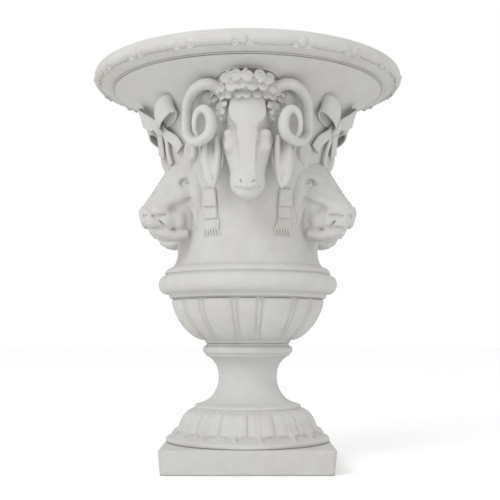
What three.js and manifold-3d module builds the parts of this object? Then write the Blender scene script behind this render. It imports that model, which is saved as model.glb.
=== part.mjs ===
// A campana-shaped garden urn of cast stone, with two ram's heads, four boar's heads and
// four ribbon bows applied to its bell. Millimetres, +Z up, origin at the centre of the
// underside. One ram faces -Y (the front) and the other +Y.
//
// The castings are stacked on thin mortar beds and drawn together by one tie rod, which
// runs through the drain bore. Each head is a separate casting on a steel dowel.

import * as THREE from 'three';
import { mergeVertices } from 'three/addons/utils/BufferGeometryUtils.js';
import Module from 'manifold-3d';

const wasm = await Module();
wasm.setup();

// ---------------------------------------------------------------- driving dimensions

const GAP = 0.3; // clearance between two pieces that touch
const ROUND = 36; // sides of a turned casting
const SMALL_ROUND = 24; // sides of a rod, bore or washer
const ARC_STEPS = 3; // straight steps along each curved stretch of a profile

// heights of the stacked castings
const PLINTH_HEIGHT = 48;
const FOOT_HEIGHT = 170;
const KNOP_HEIGHT = 22;
const BOWL_HEIGHT = 89;
const BODY_HEIGHT = 425;
const RIM_HEIGHT = 34;
const MORTAR = 1.8; // thickness of a mortar bed

// plinth
const PLINTH_WIDTH = 337;
const PLINTH_DRAFT = 4; // how far each side leans in towards the ground
const RECESS_RADIUS = 38;
const RECESS_DEPTH = 28;

// foot: base ring, leaf moulding, ring, neck
const BASE_RING_RADIUS = 166;
const BASE_RING_HEIGHT = 8;
const LEAF_HEIGHT = 64;
const LEAF_TOP_RADIUS = 108;
const NECK_RADIUS = 60;
const NECK_TOP_RADIUS = 82;

// knop, bowl and belt
const KNOP_RADIUS = 92.5;
const KNOP_SEAT_RADIUS = 84;
const BOWL_SEAT_RADIUS = 87;
const BOWL_TOP_RADIUS = 158;
const BELT_HEIGHT = 50;
const BELT_RADIUS = 183;
const BELT_FILLET_RADIUS = 162;

// bell and flare
const WAIST_HEIGHT = 95; // above the body's seat
const WAIST_RADIUS = 144;
const BELL_HEIGHT = 352; // where the bell turns into the flare
const BELL_TOP_RADIUS = 193;
const FLARE_RADIUS = 276;

// rim
const RIM_RADIUS = 313.5;
const RIM_EDGE_RADIUS = 308;
const RIM_EDGE_HEIGHT = 8; // of the lip's lower edge above the rim's seat
const RIM_INNER_RADIUS = 256;
const MOUTH_RADIUS = 268;

// wall, floor and drain
const WALL = 27;
const FLOOR = 27;
const FLOOR_RADIUS = 78;
const DRAIN_RADIUS = 22;

// tie rod and what holds it
const ROD_RADIUS = 6;
const ROD_CLEARANCE = 0.5;
const ROD_END = 10; // rod standing past each nut
const NUT_RADIUS = 11;
const NUT_HEIGHT = 10;
const WASHER_RADIUS = 15;
const WASHER_THICKNESS = 2.5;
const BRIDGE_LENGTH = 66;
const BRIDGE_WIDTH = 24;
const BRIDGE_THICKNESS = 6;

// ram's head, with its muzzle low and its poll under the flare
const RAM_MUZZLE_HEIGHT = 174; // muzzle above the body's seat
const RAM_LENGTH = 218;
const RAM_WIDTH = 106;
const RAM_REACH = 83; // how far the muzzle stands off the wall
const HORN_ROOT_RADIUS = 12;
const HORN_RADIUS = 10;
const HORN_TIP_RADIUS = 5;
const EAR_LENGTH = 84;
const EAR_WIDTH = 26;
const EAR_SPREAD = 64;

// boar's head
const BOAR_JAW_HEIGHT = 104; // jaw above the body's seat
const BOAR_LENGTH = 166;
const BOAR_WIDTH = 94;
const BOAR_REACH = 92;
const BOAR_EAR_SPREAD = 56;
const BOAR_EAR_LENGTH = 50;

// lock of hair between a ram and a boar
const LOCK_AZIMUTH = 28; // to each side of a ram
const LOCK_HEIGHT = 112; // its foot above the body's seat
const LOCK_LENGTH = 106;
const LOCK_WIDTH = 28;
const LOCK_DEPTH = 9;

// ribbon bow
const BOW_HEIGHT = 356; // knot above the body's seat
const BOW_SPAN = 120;
const RIBBON_WIDTH = 24;
const TAIL_LENGTH = 74;

// dowels
const DOWEL_RADIUS = 5;
const DOWEL_LENGTH = 48;
const DOWEL_IN_WALL = 18;

const RAM_AZIMUTHS = [0, 180];
const BOAR_AZIMUTHS = [60, 120, 240, 300];

// ---------------------------------------------------------------- levels of the stack

const JOINT = MORTAR + 2 * GAP;
const footBase = PLINTH_HEIGHT + JOINT;
const footTop = footBase + FOOT_HEIGHT;
const knopBase = footTop + JOINT;
const knopTop = knopBase + KNOP_HEIGHT;
const bowlBase = knopTop + JOINT;
const bowlTop = bowlBase + BOWL_HEIGHT;
const bodyBase = bowlTop + JOINT;
const bodyTop = bodyBase + BODY_HEIGHT;
const rimBase = bodyTop + JOINT;
const rimTop = rimBase + RIM_HEIGHT;
const floorTop = bowlBase + FLOOR;

// ---------------------------------------------------------------- making solids

// A closed three.js geometry as a solid that can be cut: shared corners are merged and
// triangles that have no area are left out.
function solid(geometry) {
  const bare = geometry.index ? geometry.toNonIndexed() : geometry.clone();
  bare.deleteAttribute('normal');
  bare.deleteAttribute('uv');
  const merged = mergeVertices(bare, 1e-3);
  const corners = merged.index.array;
  const kept = [];
  for (let i = 0; i < corners.length; i += 3) {
    const [a, b, c] = corners.subarray(i, i + 3);
    if (a !== b && b !== c && c !== a) kept.push(a, b, c);
  }
  return new wasm.Manifold(new wasm.Mesh({
    numProp: 3,
    vertProperties: merged.attributes.position.array,
    triVerts: Uint32Array.from(kept),
  }));
}

function geometryOf(manifold) {
  const mesh = manifold.getMesh();
  const geometry = new THREE.BufferGeometry();
  geometry.setAttribute('position', new THREE.BufferAttribute(mesh.vertProperties, 3));
  geometry.setIndex(new THREE.BufferAttribute(mesh.triVerts, 1));
  return geometry;
}

// The main body that a cut leaves, without the chips.
function mainBody(manifold) {
  const bodies = manifold.decompose();
  return bodies.sort((a, b) => b.volume() - a.volume())[0];
}

function cut(blank, ...cutters) {
  const whole = cutters.reduce((rest, cutter) => rest.subtract(cutter), blank);
  return geometryOf(mainBody(whole));
}

// A profile of (radius, height) points, run anticlockwise, turned about the Z axis.
function turned(profile, sides = ROUND) {
  return new THREE.LatheGeometry(profile, sides).rotateX(Math.PI / 2);
}

// An upright tube or disc between two heights.
function ring(inner, outer, low, high, sides = ROUND) {
  const corners = [[inner, low], [outer, low], [outer, high], [inner, high], [inner, low]];
  return turned(corners.map(([r, z]) => new THREE.Vector2(r, z)), sides);
}

function rodBetween(radius, low, high, sides = SMALL_ROUND) {
  const rod = new THREE.CylinderGeometry(radius, radius, high - low, sides);
  return rod.rotateX(Math.PI / 2).translate(0, 0, (low + high) / 2);
}

// A skin over a row of closed rings of points, with a fan of triangles at each end. The
// rings run anticlockwise seen from the end that the row moves towards.
function loft(rings) {
  const sides = rings[0].length;
  const points = rings.flat();
  const corners = [];
  for (let row = 0; row < rings.length - 1; row += 1) {
    for (let side = 0; side < sides; side += 1) {
      const next = (side + 1) % sides;
      const a = row * sides + side;
      const b = row * sides + next;
      corners.push(a, b, b + sides, a, b + sides, a + sides);
    }
  }
  for (const [row, flip] of [[0, true], [rings.length - 1, false]]) {
    const centre = new THREE.Vector3();
    rings[row].forEach((point) => centre.addScaledVector(point, 1 / sides));
    points.push(centre);
    for (let side = 0; side < sides; side += 1) {
      const a = row * sides + side;
      const b = row * sides + ((side + 1) % sides);
      corners.push(points.length - 1, flip ? b : a, flip ? a : b);
    }
  }
  const geometry = new THREE.BufferGeometry().setFromPoints(points);
  geometry.setIndex(corners);
  return geometry;
}

// A tapering bar of elliptical section along a curve. widthAt and depthAt give the half
// sizes at a share of the length: width lies across the curve and depth towards -Y.
function taperedBar(curve, steps, sides, widthAt, depthAt) {
  const rings = [];
  for (let step = 0; step <= steps; step += 1) {
    const share = step / steps;
    const centre = curve.getPointAt(share);
    const along = curve.getTangentAt(share);
    const across = new THREE.Vector3(0, -1, 0).cross(along).normalize();
    const front = along.clone().cross(across).normalize();
    rings.push(Array.from({ length: sides }, (_, side) => {
      const turn = (2 * Math.PI * side) / sides;
      return centre.clone()
        .addScaledVector(across, widthAt(share) * Math.cos(turn))
        .addScaledVector(front, depthAt(share) * Math.sin(turn));
    }));
  }
  return loft(rings);
}

// ---------------------------------------------------------------- turned profiles

// The outside of the body from its seat up to the flare's edge, grown outwards by "grow".
function bodyOutside(grow = 0) {
  const path = new THREE.Path();
  const z = (height) => bodyBase + height;
  const belt = BELT_HEIGHT / 2 - 3;
  path.moveTo(BELT_FILLET_RADIUS, z(0));
  path.lineTo(BELT_FILLET_RADIUS, z(6));
  path.bezierCurveTo(BELT_RADIUS, z(7), BELT_RADIUS, z(9), BELT_RADIUS, z(belt + 8));
  path.bezierCurveTo(
    BELT_RADIUS, z(BELT_HEIGHT - 8), BELT_RADIUS - 6, z(BELT_HEIGHT - 2),
    BELT_FILLET_RADIUS + 2, z(BELT_HEIGHT + 2),
  );
  path.lineTo(WAIST_RADIUS + 16, z(BELT_HEIGHT + 12));
  path.bezierCurveTo(
    WAIST_RADIUS + 4, z(BELT_HEIGHT + 18), WAIST_RADIUS, z(WAIST_HEIGHT - 16),
    WAIST_RADIUS, z(WAIST_HEIGHT),
  );
  path.bezierCurveTo(
    WAIST_RADIUS, z(WAIST_HEIGHT + 100), BELL_TOP_RADIUS - 20, z(BELL_HEIGHT - 60),
    BELL_TOP_RADIUS, z(BELL_HEIGHT),
  );
  path.bezierCurveTo(
    BELL_TOP_RADIUS + 11, z(BELL_HEIGHT + 26), FLARE_RADIUS - 40, z(BODY_HEIGHT - 20),
    FLARE_RADIUS, z(BODY_HEIGHT),
  );
  return path.getPoints(ARC_STEPS).map((p) => new THREE.Vector2(p.x + grow, p.y));
}

// The wall's outer radius at a height above the body's seat.
function wallRadius(height) {
  const points = bodyOutside();
  const level = bodyBase + height;
  const above = points.findIndex((p) => p.y >= level && p.y > bodyBase + BELT_HEIGHT);
  const [low, high] = [points[above - 1], points[above]];
  return THREE.MathUtils.mapLinear(level, low.y, high.y, low.x, high.x);
}

function footProfile() {
  const ringTop = footBase + BASE_RING_HEIGHT;
  const leafTop = ringTop + LEAF_HEIGHT;
  const middle = (BASE_RING_RADIUS + LEAF_TOP_RADIUS) / 2;
  const path = new THREE.Path();
  path.moveTo(DRAIN_RADIUS, footBase);
  path.lineTo(BASE_RING_RADIUS, footBase);
  path.lineTo(BASE_RING_RADIUS, ringTop);
  path.bezierCurveTo(
    middle + 4, ringTop + 8, middle + 4, ringTop + LEAF_HEIGHT / 2,
    middle - 2, ringTop + LEAF_HEIGHT / 2,
  );
  path.bezierCurveTo(
    middle - 6, leafTop - 16, LEAF_TOP_RADIUS + 8, leafTop - 4, LEAF_TOP_RADIUS - 6, leafTop,
  );
  path.bezierCurveTo(
    NECK_RADIUS + 14, leafTop + 4, NECK_RADIUS, leafTop + 30,
    NECK_RADIUS, leafTop + 57,
  );
  path.bezierCurveTo(
    NECK_RADIUS, footTop - 24, NECK_RADIUS + 10, footTop - 8, NECK_TOP_RADIUS, footTop,
  );
  path.lineTo(DRAIN_RADIUS, footTop);
  path.closePath();
  return path.getPoints(ARC_STEPS);
}

function knopProfile() {
  const half = KNOP_HEIGHT / 2;
  const path = new THREE.Path();
  path.moveTo(DRAIN_RADIUS, knopBase);
  path.lineTo(KNOP_SEAT_RADIUS, knopBase);
  path.bezierCurveTo(
    KNOP_RADIUS, knopBase, KNOP_RADIUS, knopBase + half, KNOP_RADIUS, knopBase + half,
  );
  path.bezierCurveTo(
    KNOP_RADIUS, knopTop - 3, KNOP_SEAT_RADIUS + 4, knopTop, KNOP_SEAT_RADIUS, knopTop,
  );
  path.lineTo(DRAIN_RADIUS, knopTop);
  path.closePath();
  return path.getPoints(ARC_STEPS);
}

function bowlProfile() {
  const mouth = BOWL_TOP_RADIUS - WALL - 12;
  const path = new THREE.Path();
  path.moveTo(DRAIN_RADIUS, bowlBase);
  path.lineTo(BOWL_SEAT_RADIUS, bowlBase);
  path.bezierCurveTo(
    BOWL_SEAT_RADIUS + 30, bowlBase + 12, BOWL_TOP_RADIUS, bowlBase + BOWL_HEIGHT / 2,
    BOWL_TOP_RADIUS, bowlTop,
  );
  path.lineTo(mouth, bowlTop);
  path.bezierCurveTo(
    mouth, bowlTop - 34, FLOOR_RADIUS + 20, floorTop + 6, FLOOR_RADIUS, floorTop,
  );
  path.lineTo(DRAIN_RADIUS, floorTop);
  path.closePath();
  return path.getPoints(ARC_STEPS);
}

function bodyProfile() {
  const inner = new THREE.Path();
  const z = (height) => bodyBase + height;
  inner.moveTo(RIM_INNER_RADIUS, z(BODY_HEIGHT));
  inner.bezierCurveTo(
    BELL_TOP_RADIUS + 14 - WALL, z(BODY_HEIGHT), BELL_TOP_RADIUS + 2 - WALL, z(BELL_HEIGHT + 22),
    BELL_TOP_RADIUS - WALL, z(BELL_HEIGHT),
  );
  inner.bezierCurveTo(
    BELL_TOP_RADIUS - 20 - WALL, z(BELL_HEIGHT - 60), WAIST_RADIUS - WALL, z(WAIST_HEIGHT + 100),
    WAIST_RADIUS - WALL, z(WAIST_HEIGHT),
  );
  inner.lineTo(BOWL_TOP_RADIUS - WALL - 12, z(0));
  inner.lineTo(BELT_FILLET_RADIUS, z(0));
  return [...bodyOutside(), ...inner.getPoints(ARC_STEPS)];
}

function rimProfile() {
  const half = rimBase + RIM_HEIGHT / 2;
  const crown = (RIM_EDGE_RADIUS + MOUTH_RADIUS) / 2;
  const path = new THREE.Path();
  path.moveTo(RIM_INNER_RADIUS, rimBase);
  path.lineTo(FLARE_RADIUS, rimBase);
  path.lineTo(RIM_EDGE_RADIUS, rimBase + RIM_EDGE_HEIGHT);
  path.bezierCurveTo(
    RIM_RADIUS - 2, rimBase + RIM_EDGE_HEIGHT + 2, RIM_RADIUS, half - 4, RIM_RADIUS, half,
  );
  path.bezierCurveTo(
    RIM_RADIUS, half + 10, RIM_EDGE_RADIUS, rimTop, crown, rimTop,
  );
  path.bezierCurveTo(
    MOUTH_RADIUS, rimTop, RIM_INNER_RADIUS + 2, half + 8, RIM_INNER_RADIUS, half - 4,
  );
  path.closePath();
  return path.getPoints(ARC_STEPS);
}

// Everything inside the body's outer face, so that what is applied to the wall can be cut
// to its curve.
function wallCutter() {
  const outside = bodyOutside(GAP);
  const top = rimBase + RIM_HEIGHT;
  return solid(turned([
    new THREE.Vector2(0, bodyBase),
    ...outside,
    new THREE.Vector2(FLARE_RADIUS + GAP, top),
    new THREE.Vector2(0, top),
  ]));
}

// ---------------------------------------------------------------- applied heads

// A head hanging down in front of the wall, as level sections. Each section is an oval
// from inside the wall to its own reach, and its three numbers are shares: of the head's
// length upwards, of its reach and of its width.
function hangingHead(base, length, width, reach, shares, grow = 0) {
  const sides = 14;
  const back = WAIST_RADIUS - WALL;
  const rings = shares.map(([up, out, wide], row) => {
    const end = row === 0 ? -grow : grow;
    const isEnd = row === 0 || row === shares.length - 1;
    const level = bodyBase + base + length * up + (isEnd ? end : 0);
    const front = wallRadius(base + length / 3) + reach * out + grow;
    const half = (width * wide) / 2 + grow;
    const depth = (front - back) / 2;
    return Array.from({ length: sides }, (_, side) => {
      const turn = (2 * Math.PI * side) / sides;
      return new THREE.Vector3(
        half * Math.cos(turn), -(back + depth) + depth * Math.sin(turn), level,
      );
    });
  });
  return solid(loft(rings));
}

const RAM_SHARES = [
  [0, 0.72, 0.3], [0.06, 0.94, 0.58], [0.15, 1, 0.66], [0.32, 0.93, 0.68],
  [0.5, 0.86, 0.9], [0.6, 0.86, 1], [0.75, 0.8, 0.94], [0.9, 0.62, 0.8], [1, 0.4, 0.6],
];

const BOAR_SHARES = [
  [0, 0.32, 0.24], [0.08, 0.54, 0.5], [0.2, 0.92, 0.6], [0.32, 1, 0.56],
  [0.45, 0.86, 0.66], [0.62, 0.66, 0.88], [0.78, 0.48, 1], [0.92, 0.3, 0.98], [1, 0.16, 0.8],
];

function ramHead(grow = 0) {
  return hangingHead(RAM_MUZZLE_HEIGHT, RAM_LENGTH, RAM_WIDTH, RAM_REACH, RAM_SHARES, grow);
}

function boarHead(grow = 0) {
  return hangingHead(BOAR_JAW_HEIGHT, BOAR_LENGTH, BOAR_WIDTH, BOAR_REACH, BOAR_SHARES, grow);
}

// A horn leaves the poll, arches under the flare, comes down outside the cheek and curls
// back up into a ring beside the eye. side is 1 for the horn on the +X side.
function ramHorn(side, grow = 0) {
  const muzzle = bodyBase + RAM_MUZZLE_HEIGHT;
  const wall = wallRadius(RAM_MUZZLE_HEIGHT + RAM_LENGTH / 3);
  const half = RAM_WIDTH / 2;
  const route = [
    [half - 15, 196, 52], [half + 6, 207, 62], [half + 26, 209, 66], [half + 44, 202, 52],
    [half + 57, 184, 32], [half + 61, 155, 17], [half + 59, 128, 19], [half + 48, 112, 32],
    [half + 32, 110, 48], [half + 17, 120, 60], [half + 13, 138, 66], [half + 18, 156, 69],
    [half + 29, 163, 68], [half + 40, 156, 64], [half + 42, 141, 60],
  ];
  const points = route.map(([x, up, out]) => (
    new THREE.Vector3(side * x, -(wall + out), muzzle + up)
  ));
  const curve = new THREE.CatmullRomCurve3(points);
  const { lerp } = THREE.MathUtils;
  const radius = (share) => grow + (share < 0.5
    ? lerp(HORN_ROOT_RADIUS, HORN_RADIUS, 2 * share)
    : lerp(HORN_RADIUS, HORN_TIP_RADIUS, (2 * share - 1) ** 2));
  return solid(taperedBar(curve, 30, 8, radius, radius));
}

// A pointed ear hanging below the horn's curl.
function ramEar(side) {
  const root = bodyBase + RAM_MUZZLE_HEIGHT + 20 + EAR_LENGTH;
  const wall = wallRadius(RAM_MUZZLE_HEIGHT + RAM_LENGTH / 3);
  const curve = new THREE.CatmullRomCurve3([
    new THREE.Vector3(side * (EAR_SPREAD - 28), -(wall + 26), root + 10),
    new THREE.Vector3(side * (EAR_SPREAD - 6), -(wall + 30), root - 4),
    new THREE.Vector3(side * EAR_SPREAD, -(wall + 26), root - EAR_LENGTH / 2),
    new THREE.Vector3(side * (EAR_SPREAD - 2), -(wall + 20), root - EAR_LENGTH),
  ]);
  const swell = (share) => Math.sin(Math.PI * (0.12 + 0.86 * share) ** 0.8);
  const width = (share) => 1.5 + (EAR_WIDTH / 2 - 1.5) * swell(share);
  const depth = (share) => 1.5 + 6 * swell(share);
  return taperedBar(curve, 8, 8, width, depth);
}

// The fleece over the poll: a thick roll that swells out under the flare, from one horn's
// root to the other's.
function ramFleece() {
  const level = bodyBase + RAM_MUZZLE_HEIGHT + RAM_LENGTH * 0.93;
  const wall = wallRadius(RAM_MUZZLE_HEIGHT + RAM_LENGTH / 3);
  const reach = wall + RAM_REACH;
  const half = RAM_WIDTH / 2;
  const curve = new THREE.CatmullRomCurve3([
    new THREE.Vector3(-half + 6, -(reach - 22), level - 8),
    new THREE.Vector3(-half / 3, -reach, level + 4),
    new THREE.Vector3(half / 3, -reach, level + 4),
    new THREE.Vector3(half - 6, -(reach - 22), level - 8),
  ]);
  const thick = (share) => 9 + 9 * Math.sin(Math.PI * share);
  return solid(taperedBar(curve, 8, 10, thick, thick));
}

// A short cupped ear standing out beside the boar's brow.
function boarEar(side) {
  const level = bodyBase + BOAR_JAW_HEIGHT + BOAR_LENGTH;
  const wall = wallRadius(BOAR_JAW_HEIGHT + BOAR_LENGTH);
  const inner = BOAR_EAR_SPREAD - 16;
  const curve = new THREE.CatmullRomCurve3([
    new THREE.Vector3(side * inner, -(wall - 6), level - BOAR_EAR_LENGTH / 2 - 6),
    new THREE.Vector3(side * BOAR_EAR_SPREAD, -(wall - 4), level),
    new THREE.Vector3(side * (BOAR_EAR_SPREAD + 4), -(wall - 5), level + BOAR_EAR_LENGTH / 2),
  ]);
  const width = (share) => 2 + 13 * Math.sin(Math.PI * (0.1 + 0.86 * share));
  const depth = (share) => 2 + 9 * Math.sin(Math.PI * (0.1 + 0.86 * share));
  return solid(taperedBar(curve, 6, 8, width, depth));
}

// The room that a boar's ear needs beside the tail of the bow.
function boarEarKeepOut(side) {
  const level = bodyBase + BOAR_JAW_HEIGHT + BOAR_LENGTH;
  return new THREE.SphereGeometry(1, 12, 8)
    .scale(20, 40, BOAR_EAR_LENGTH / 2 + 8)
    .translate(side * BOAR_EAR_SPREAD, -wallRadius(BOAR_JAW_HEIGHT + BOAR_LENGTH), level);
}

// A lock of hair that lies on the wall in three overlapping tiers, each wider at its foot.
function hairLock() {
  const foot = bodyBase + LOCK_HEIGHT;
  const level = (share) => foot + LOCK_LENGTH * (1 - share);
  const surface = (share) => wallRadius(LOCK_HEIGHT + LOCK_LENGTH * (1 - share));
  const curve = new THREE.CatmullRomCurve3([0, 0.5, 1].map((share) => (
    new THREE.Vector3(0, -surface(share), level(share))
  )));
  const tier = (share) => (share * 3) % 1.001;
  const width = (share) => (LOCK_WIDTH / 2) * (0.7 + 0.3 * tier(share));
  const depth = (share) => LOCK_DEPTH * (0.6 + 0.4 * tier(share));
  return solid(taperedBar(curve, 12, 8, width, depth));
}

// A ribbon tied under the flare: a knot, two loops that rise to the sides and two tails.
function ribbonBow() {
  const level = bodyBase + BOW_HEIGHT;
  const wall = wallRadius(BOW_HEIGHT);
  const knot = new THREE.SphereGeometry(1, 10, 6)
    .scale(15, 17, 15)
    .translate(0, -(wall + 8), level);
  let bow = solid(knot);
  for (const side of [-1, 1]) {
    const loop = new THREE.CatmullRomCurve3([
      new THREE.Vector3(0, -(wall + 8), level),
      new THREE.Vector3(side * BOW_SPAN * 0.25, -(wall + 16), level + 12),
      new THREE.Vector3(side * BOW_SPAN * 0.5, -(wall + 6), level + 24),
    ]);
    const tall = (share) => 5 + (RIBBON_WIDTH - 9) * Math.sin(Math.PI * (0.1 + 0.75 * share));
    const deep = (share) => 6 + 5 * Math.sin(Math.PI * share);
    bow = bow.add(solid(taperedBar(loop, 5, 8, tall, deep)));
    const tailFoot = wallRadius(BOW_HEIGHT - TAIL_LENGTH);
    const tail = new THREE.CatmullRomCurve3([
      new THREE.Vector3(0, -(wall + 6), level),
      new THREE.Vector3(side * 20, -(wall + 6), level - TAIL_LENGTH * 0.4),
      new THREE.Vector3(side * 38, -(tailFoot + 4), level - TAIL_LENGTH),
    ]);
    bow = bow.add(solid(taperedBar(tail, 5, 6, () => RIBBON_WIDTH * 0.42, () => 5)));
  }
  return bow;
}

// The dowel that a head hangs on: along -Y, partly in the wall and partly in the head.
function dowel(height, grow = 0) {
  const start = wallRadius(height) - DOWEL_IN_WALL - grow;
  const length = DOWEL_LENGTH + 2 * grow;
  return new THREE.CylinderGeometry(DOWEL_RADIUS + grow, DOWEL_RADIUS + grow, length, 12)
    .translate(0, -(start + length / 2), 0)
    .translate(0, 0, bodyBase + height);
}

// ---------------------------------------------------------------- materials and meshes

const FINISHES = {
  stone: { color: 0xd4d2cd, roughness: 0.85, metalness: 0 },
  mortar: { color: 0xb9b5ac, roughness: 0.95, metalness: 0 },
  steel: { color: 0x9a9da0, roughness: 0.45, metalness: 1 },
};

const urn = new THREE.Group();
urn.name = 'urn';

function place(name, geometry, finish, azimuth = 0) {
  const mesh = new THREE.Mesh(geometry, new THREE.MeshStandardMaterial(FINISHES[finish]));
  mesh.name = name;
  mesh.rotation.z = THREE.MathUtils.degToRad(azimuth);
  urn.add(mesh);
}

// ---------------------------------------------------------------- castings

const ramDowelHeight = RAM_MUZZLE_HEIGHT + RAM_LENGTH * 0.62;
const boarDowelHeight = BOAR_JAW_HEIGHT + BOAR_LENGTH * 0.62;

function plinth() {
  const corner = Math.SQRT1_2 * PLINTH_WIDTH;
  const draft = Math.SQRT2 * PLINTH_DRAFT;
  const block = new THREE.CylinderGeometry(corner, corner - draft, PLINTH_HEIGHT, 4)
    .rotateY(Math.PI / 4)
    .rotateX(Math.PI / 2)
    .translate(0, 0, PLINTH_HEIGHT / 2);
  const bore = solid(rodBetween(DRAIN_RADIUS, -1, PLINTH_HEIGHT + 1));
  const recess = solid(rodBetween(RECESS_RADIUS, -1, RECESS_DEPTH));
  return cut(solid(block), bore, recess);
}

function body() {
  const bores = [
    ...RAM_AZIMUTHS.map((azimuth) => [azimuth, ramDowelHeight]),
    ...BOAR_AZIMUTHS.map((azimuth) => [azimuth, boarDowelHeight]),
  ].map(([azimuth, height]) => (
    solid(dowel(height, GAP).rotateZ(THREE.MathUtils.degToRad(azimuth)))
  ));
  return cut(solid(turned(bodyProfile())), ...bores);
}

place('plinth', plinth(), 'stone');
place('foot', turned(footProfile()), 'stone');
place('knop', turned(knopProfile()), 'stone');
place('bowl', turned(bowlProfile()), 'stone');
place('body', body(), 'stone');
place('rim', turned(rimProfile()), 'stone');

// mortar beds, each set in a little from the narrower of its two seats
const BED_SET_IN = 8;
const cavity = BOWL_TOP_RADIUS - WALL - 12;
const beds = {
  foot_bed: [PLINTH_HEIGHT, DRAIN_RADIUS + BED_SET_IN, BASE_RING_RADIUS],
  knop_lower_bed: [footTop, DRAIN_RADIUS + BED_SET_IN, Math.min(NECK_TOP_RADIUS, KNOP_SEAT_RADIUS)],
  knop_upper_bed: [knopTop, DRAIN_RADIUS + BED_SET_IN, Math.min(KNOP_SEAT_RADIUS, BOWL_SEAT_RADIUS)],
  belt_bed: [bowlTop, cavity + 2, Math.min(BOWL_TOP_RADIUS, BELT_FILLET_RADIUS)],
  rim_bed: [bodyTop, RIM_INNER_RADIUS + 2, FLARE_RADIUS],
};
for (const [name, [seat, inner, outer]] of Object.entries(beds)) {
  const bed = ring(inner, outer - BED_SET_IN, seat + GAP, seat + GAP + MORTAR, SMALL_ROUND);
  place(name, bed, 'mortar');
}

// ---------------------------------------------------------------- heads and bows

const wall = wallCutter();
const ramDowelCutter = solid(dowel(ramDowelHeight, GAP));
const boarDowelCutter = solid(dowel(boarDowelHeight, GAP));
const ramHeadGrown = ramHead(GAP);
const boarHeadGrown = boarHead(GAP);
const sides = { right: 1, left: -1 };

const ramPieces = {
  head: cut(ramHead(), wall, ramDowelCutter),
  fleece: cut(ramFleece(), wall, ramHeadGrown, ramHorn(1, GAP), ramHorn(-1, GAP)),
};
const boarPieces = {
  head: cut(boarHead(), wall, boarDowelCutter),
};
for (const [name, side] of Object.entries(sides)) {
  ramPieces[`horn_${name}`] = cut(ramHorn(side), wall, ramHeadGrown);
  ramPieces[`ear_${name}`] = cut(solid(ramEar(side)), wall, ramHeadGrown, ramHorn(side, GAP));
  boarPieces[`ear_${name}`] = cut(boarEar(side), wall, boarHeadGrown);
}
const bow = cut(ribbonBow(), wall, boarHeadGrown, solid(boarEarKeepOut(1)), solid(boarEarKeepOut(-1)));

const ramNames = { 0: 'front', 180: 'back' };
for (const azimuth of RAM_AZIMUTHS) {
  for (const [piece, geometry] of Object.entries(ramPieces)) {
    place(`ram_${ramNames[azimuth]}_${piece}`, geometry, 'stone', azimuth);
  }
  place(`dowel_ram_${ramNames[azimuth]}`, dowel(ramDowelHeight), 'steel', azimuth);
}
const lockAzimuths = RAM_AZIMUTHS.flatMap((azimuth) => (
  [azimuth + LOCK_AZIMUTH, azimuth - LOCK_AZIMUTH]
));
lockAzimuths.forEach((azimuth, index) => {
  const lock = cut(hairLock(), wall.rotate([0, 0, -azimuth]));
  place(`lock_${index + 1}`, lock, 'stone', azimuth);
});
BOAR_AZIMUTHS.forEach((azimuth, index) => {
  const number = index + 1;
  for (const [piece, geometry] of Object.entries(boarPieces)) {
    place(`boar_${number}_${piece}`, geometry, 'stone', azimuth);
  }
  place(`bow_${number}`, bow, 'stone', azimuth);
  place(`dowel_boar_${number}`, dowel(boarDowelHeight), 'steel', azimuth);
});

// ---------------------------------------------------------------- tie rod

// A flat bar that spans the drain bore, with a hole for the rod.
function bridge(low) {
  const bar = new THREE.BoxGeometry(BRIDGE_LENGTH, BRIDGE_WIDTH, BRIDGE_THICKNESS)
    .translate(0, 0, low + BRIDGE_THICKNESS / 2);
  const hole = rodBetween(ROD_RADIUS + ROD_CLEARANCE, low - 1, low + BRIDGE_THICKNESS + 1);
  return cut(solid(bar), solid(hole));
}

function nut(low) {
  const hexagon = rodBetween(NUT_RADIUS, low, low + NUT_HEIGHT, 6);
  const thread = rodBetween(ROD_RADIUS + GAP, low - 1, low + NUT_HEIGHT + 1);
  return cut(solid(hexagon), solid(thread));
}

function washer(low) {
  const hole = ROD_RADIUS + ROD_CLEARANCE;
  return ring(hole, WASHER_RADIUS, low, low + WASHER_THICKNESS, SMALL_ROUND);
}

const upperBridge = floorTop + GAP;
const upperWasher = upperBridge + BRIDGE_THICKNESS + GAP;
const upperNut = upperWasher + WASHER_THICKNESS + GAP;
const lowerBridge = RECESS_DEPTH - GAP - BRIDGE_THICKNESS;
const lowerWasher = lowerBridge - GAP - WASHER_THICKNESS;
const lowerNut = lowerWasher - GAP - NUT_HEIGHT;
const rodLow = Math.max(lowerNut - ROD_END / 2, 2);

place('tie_rod', rodBetween(ROD_RADIUS, rodLow, upperNut + NUT_HEIGHT + ROD_END), 'steel');
place('upper_bridge', bridge(upperBridge), 'steel');
place('upper_washer', washer(upperWasher), 'steel');
place('upper_nut', nut(upperNut), 'steel');
place('lower_bridge', bridge(lowerBridge), 'steel');
place('lower_washer', washer(lowerWasher), 'steel');
place('lower_nut', nut(lowerNut), 'steel');

export default urn;
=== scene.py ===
# %% [markdown]
# # A cast garden urn with ram's and boar's heads
# The urn is a stack of castings in off-white cast stone: plinth, foot, knop, bowl, body and
# rim. Heads and ribbon bows were pressed in moulds of their own and set on the bell. Every
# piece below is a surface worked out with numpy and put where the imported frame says.

# %% Load the frame
import math

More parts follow.
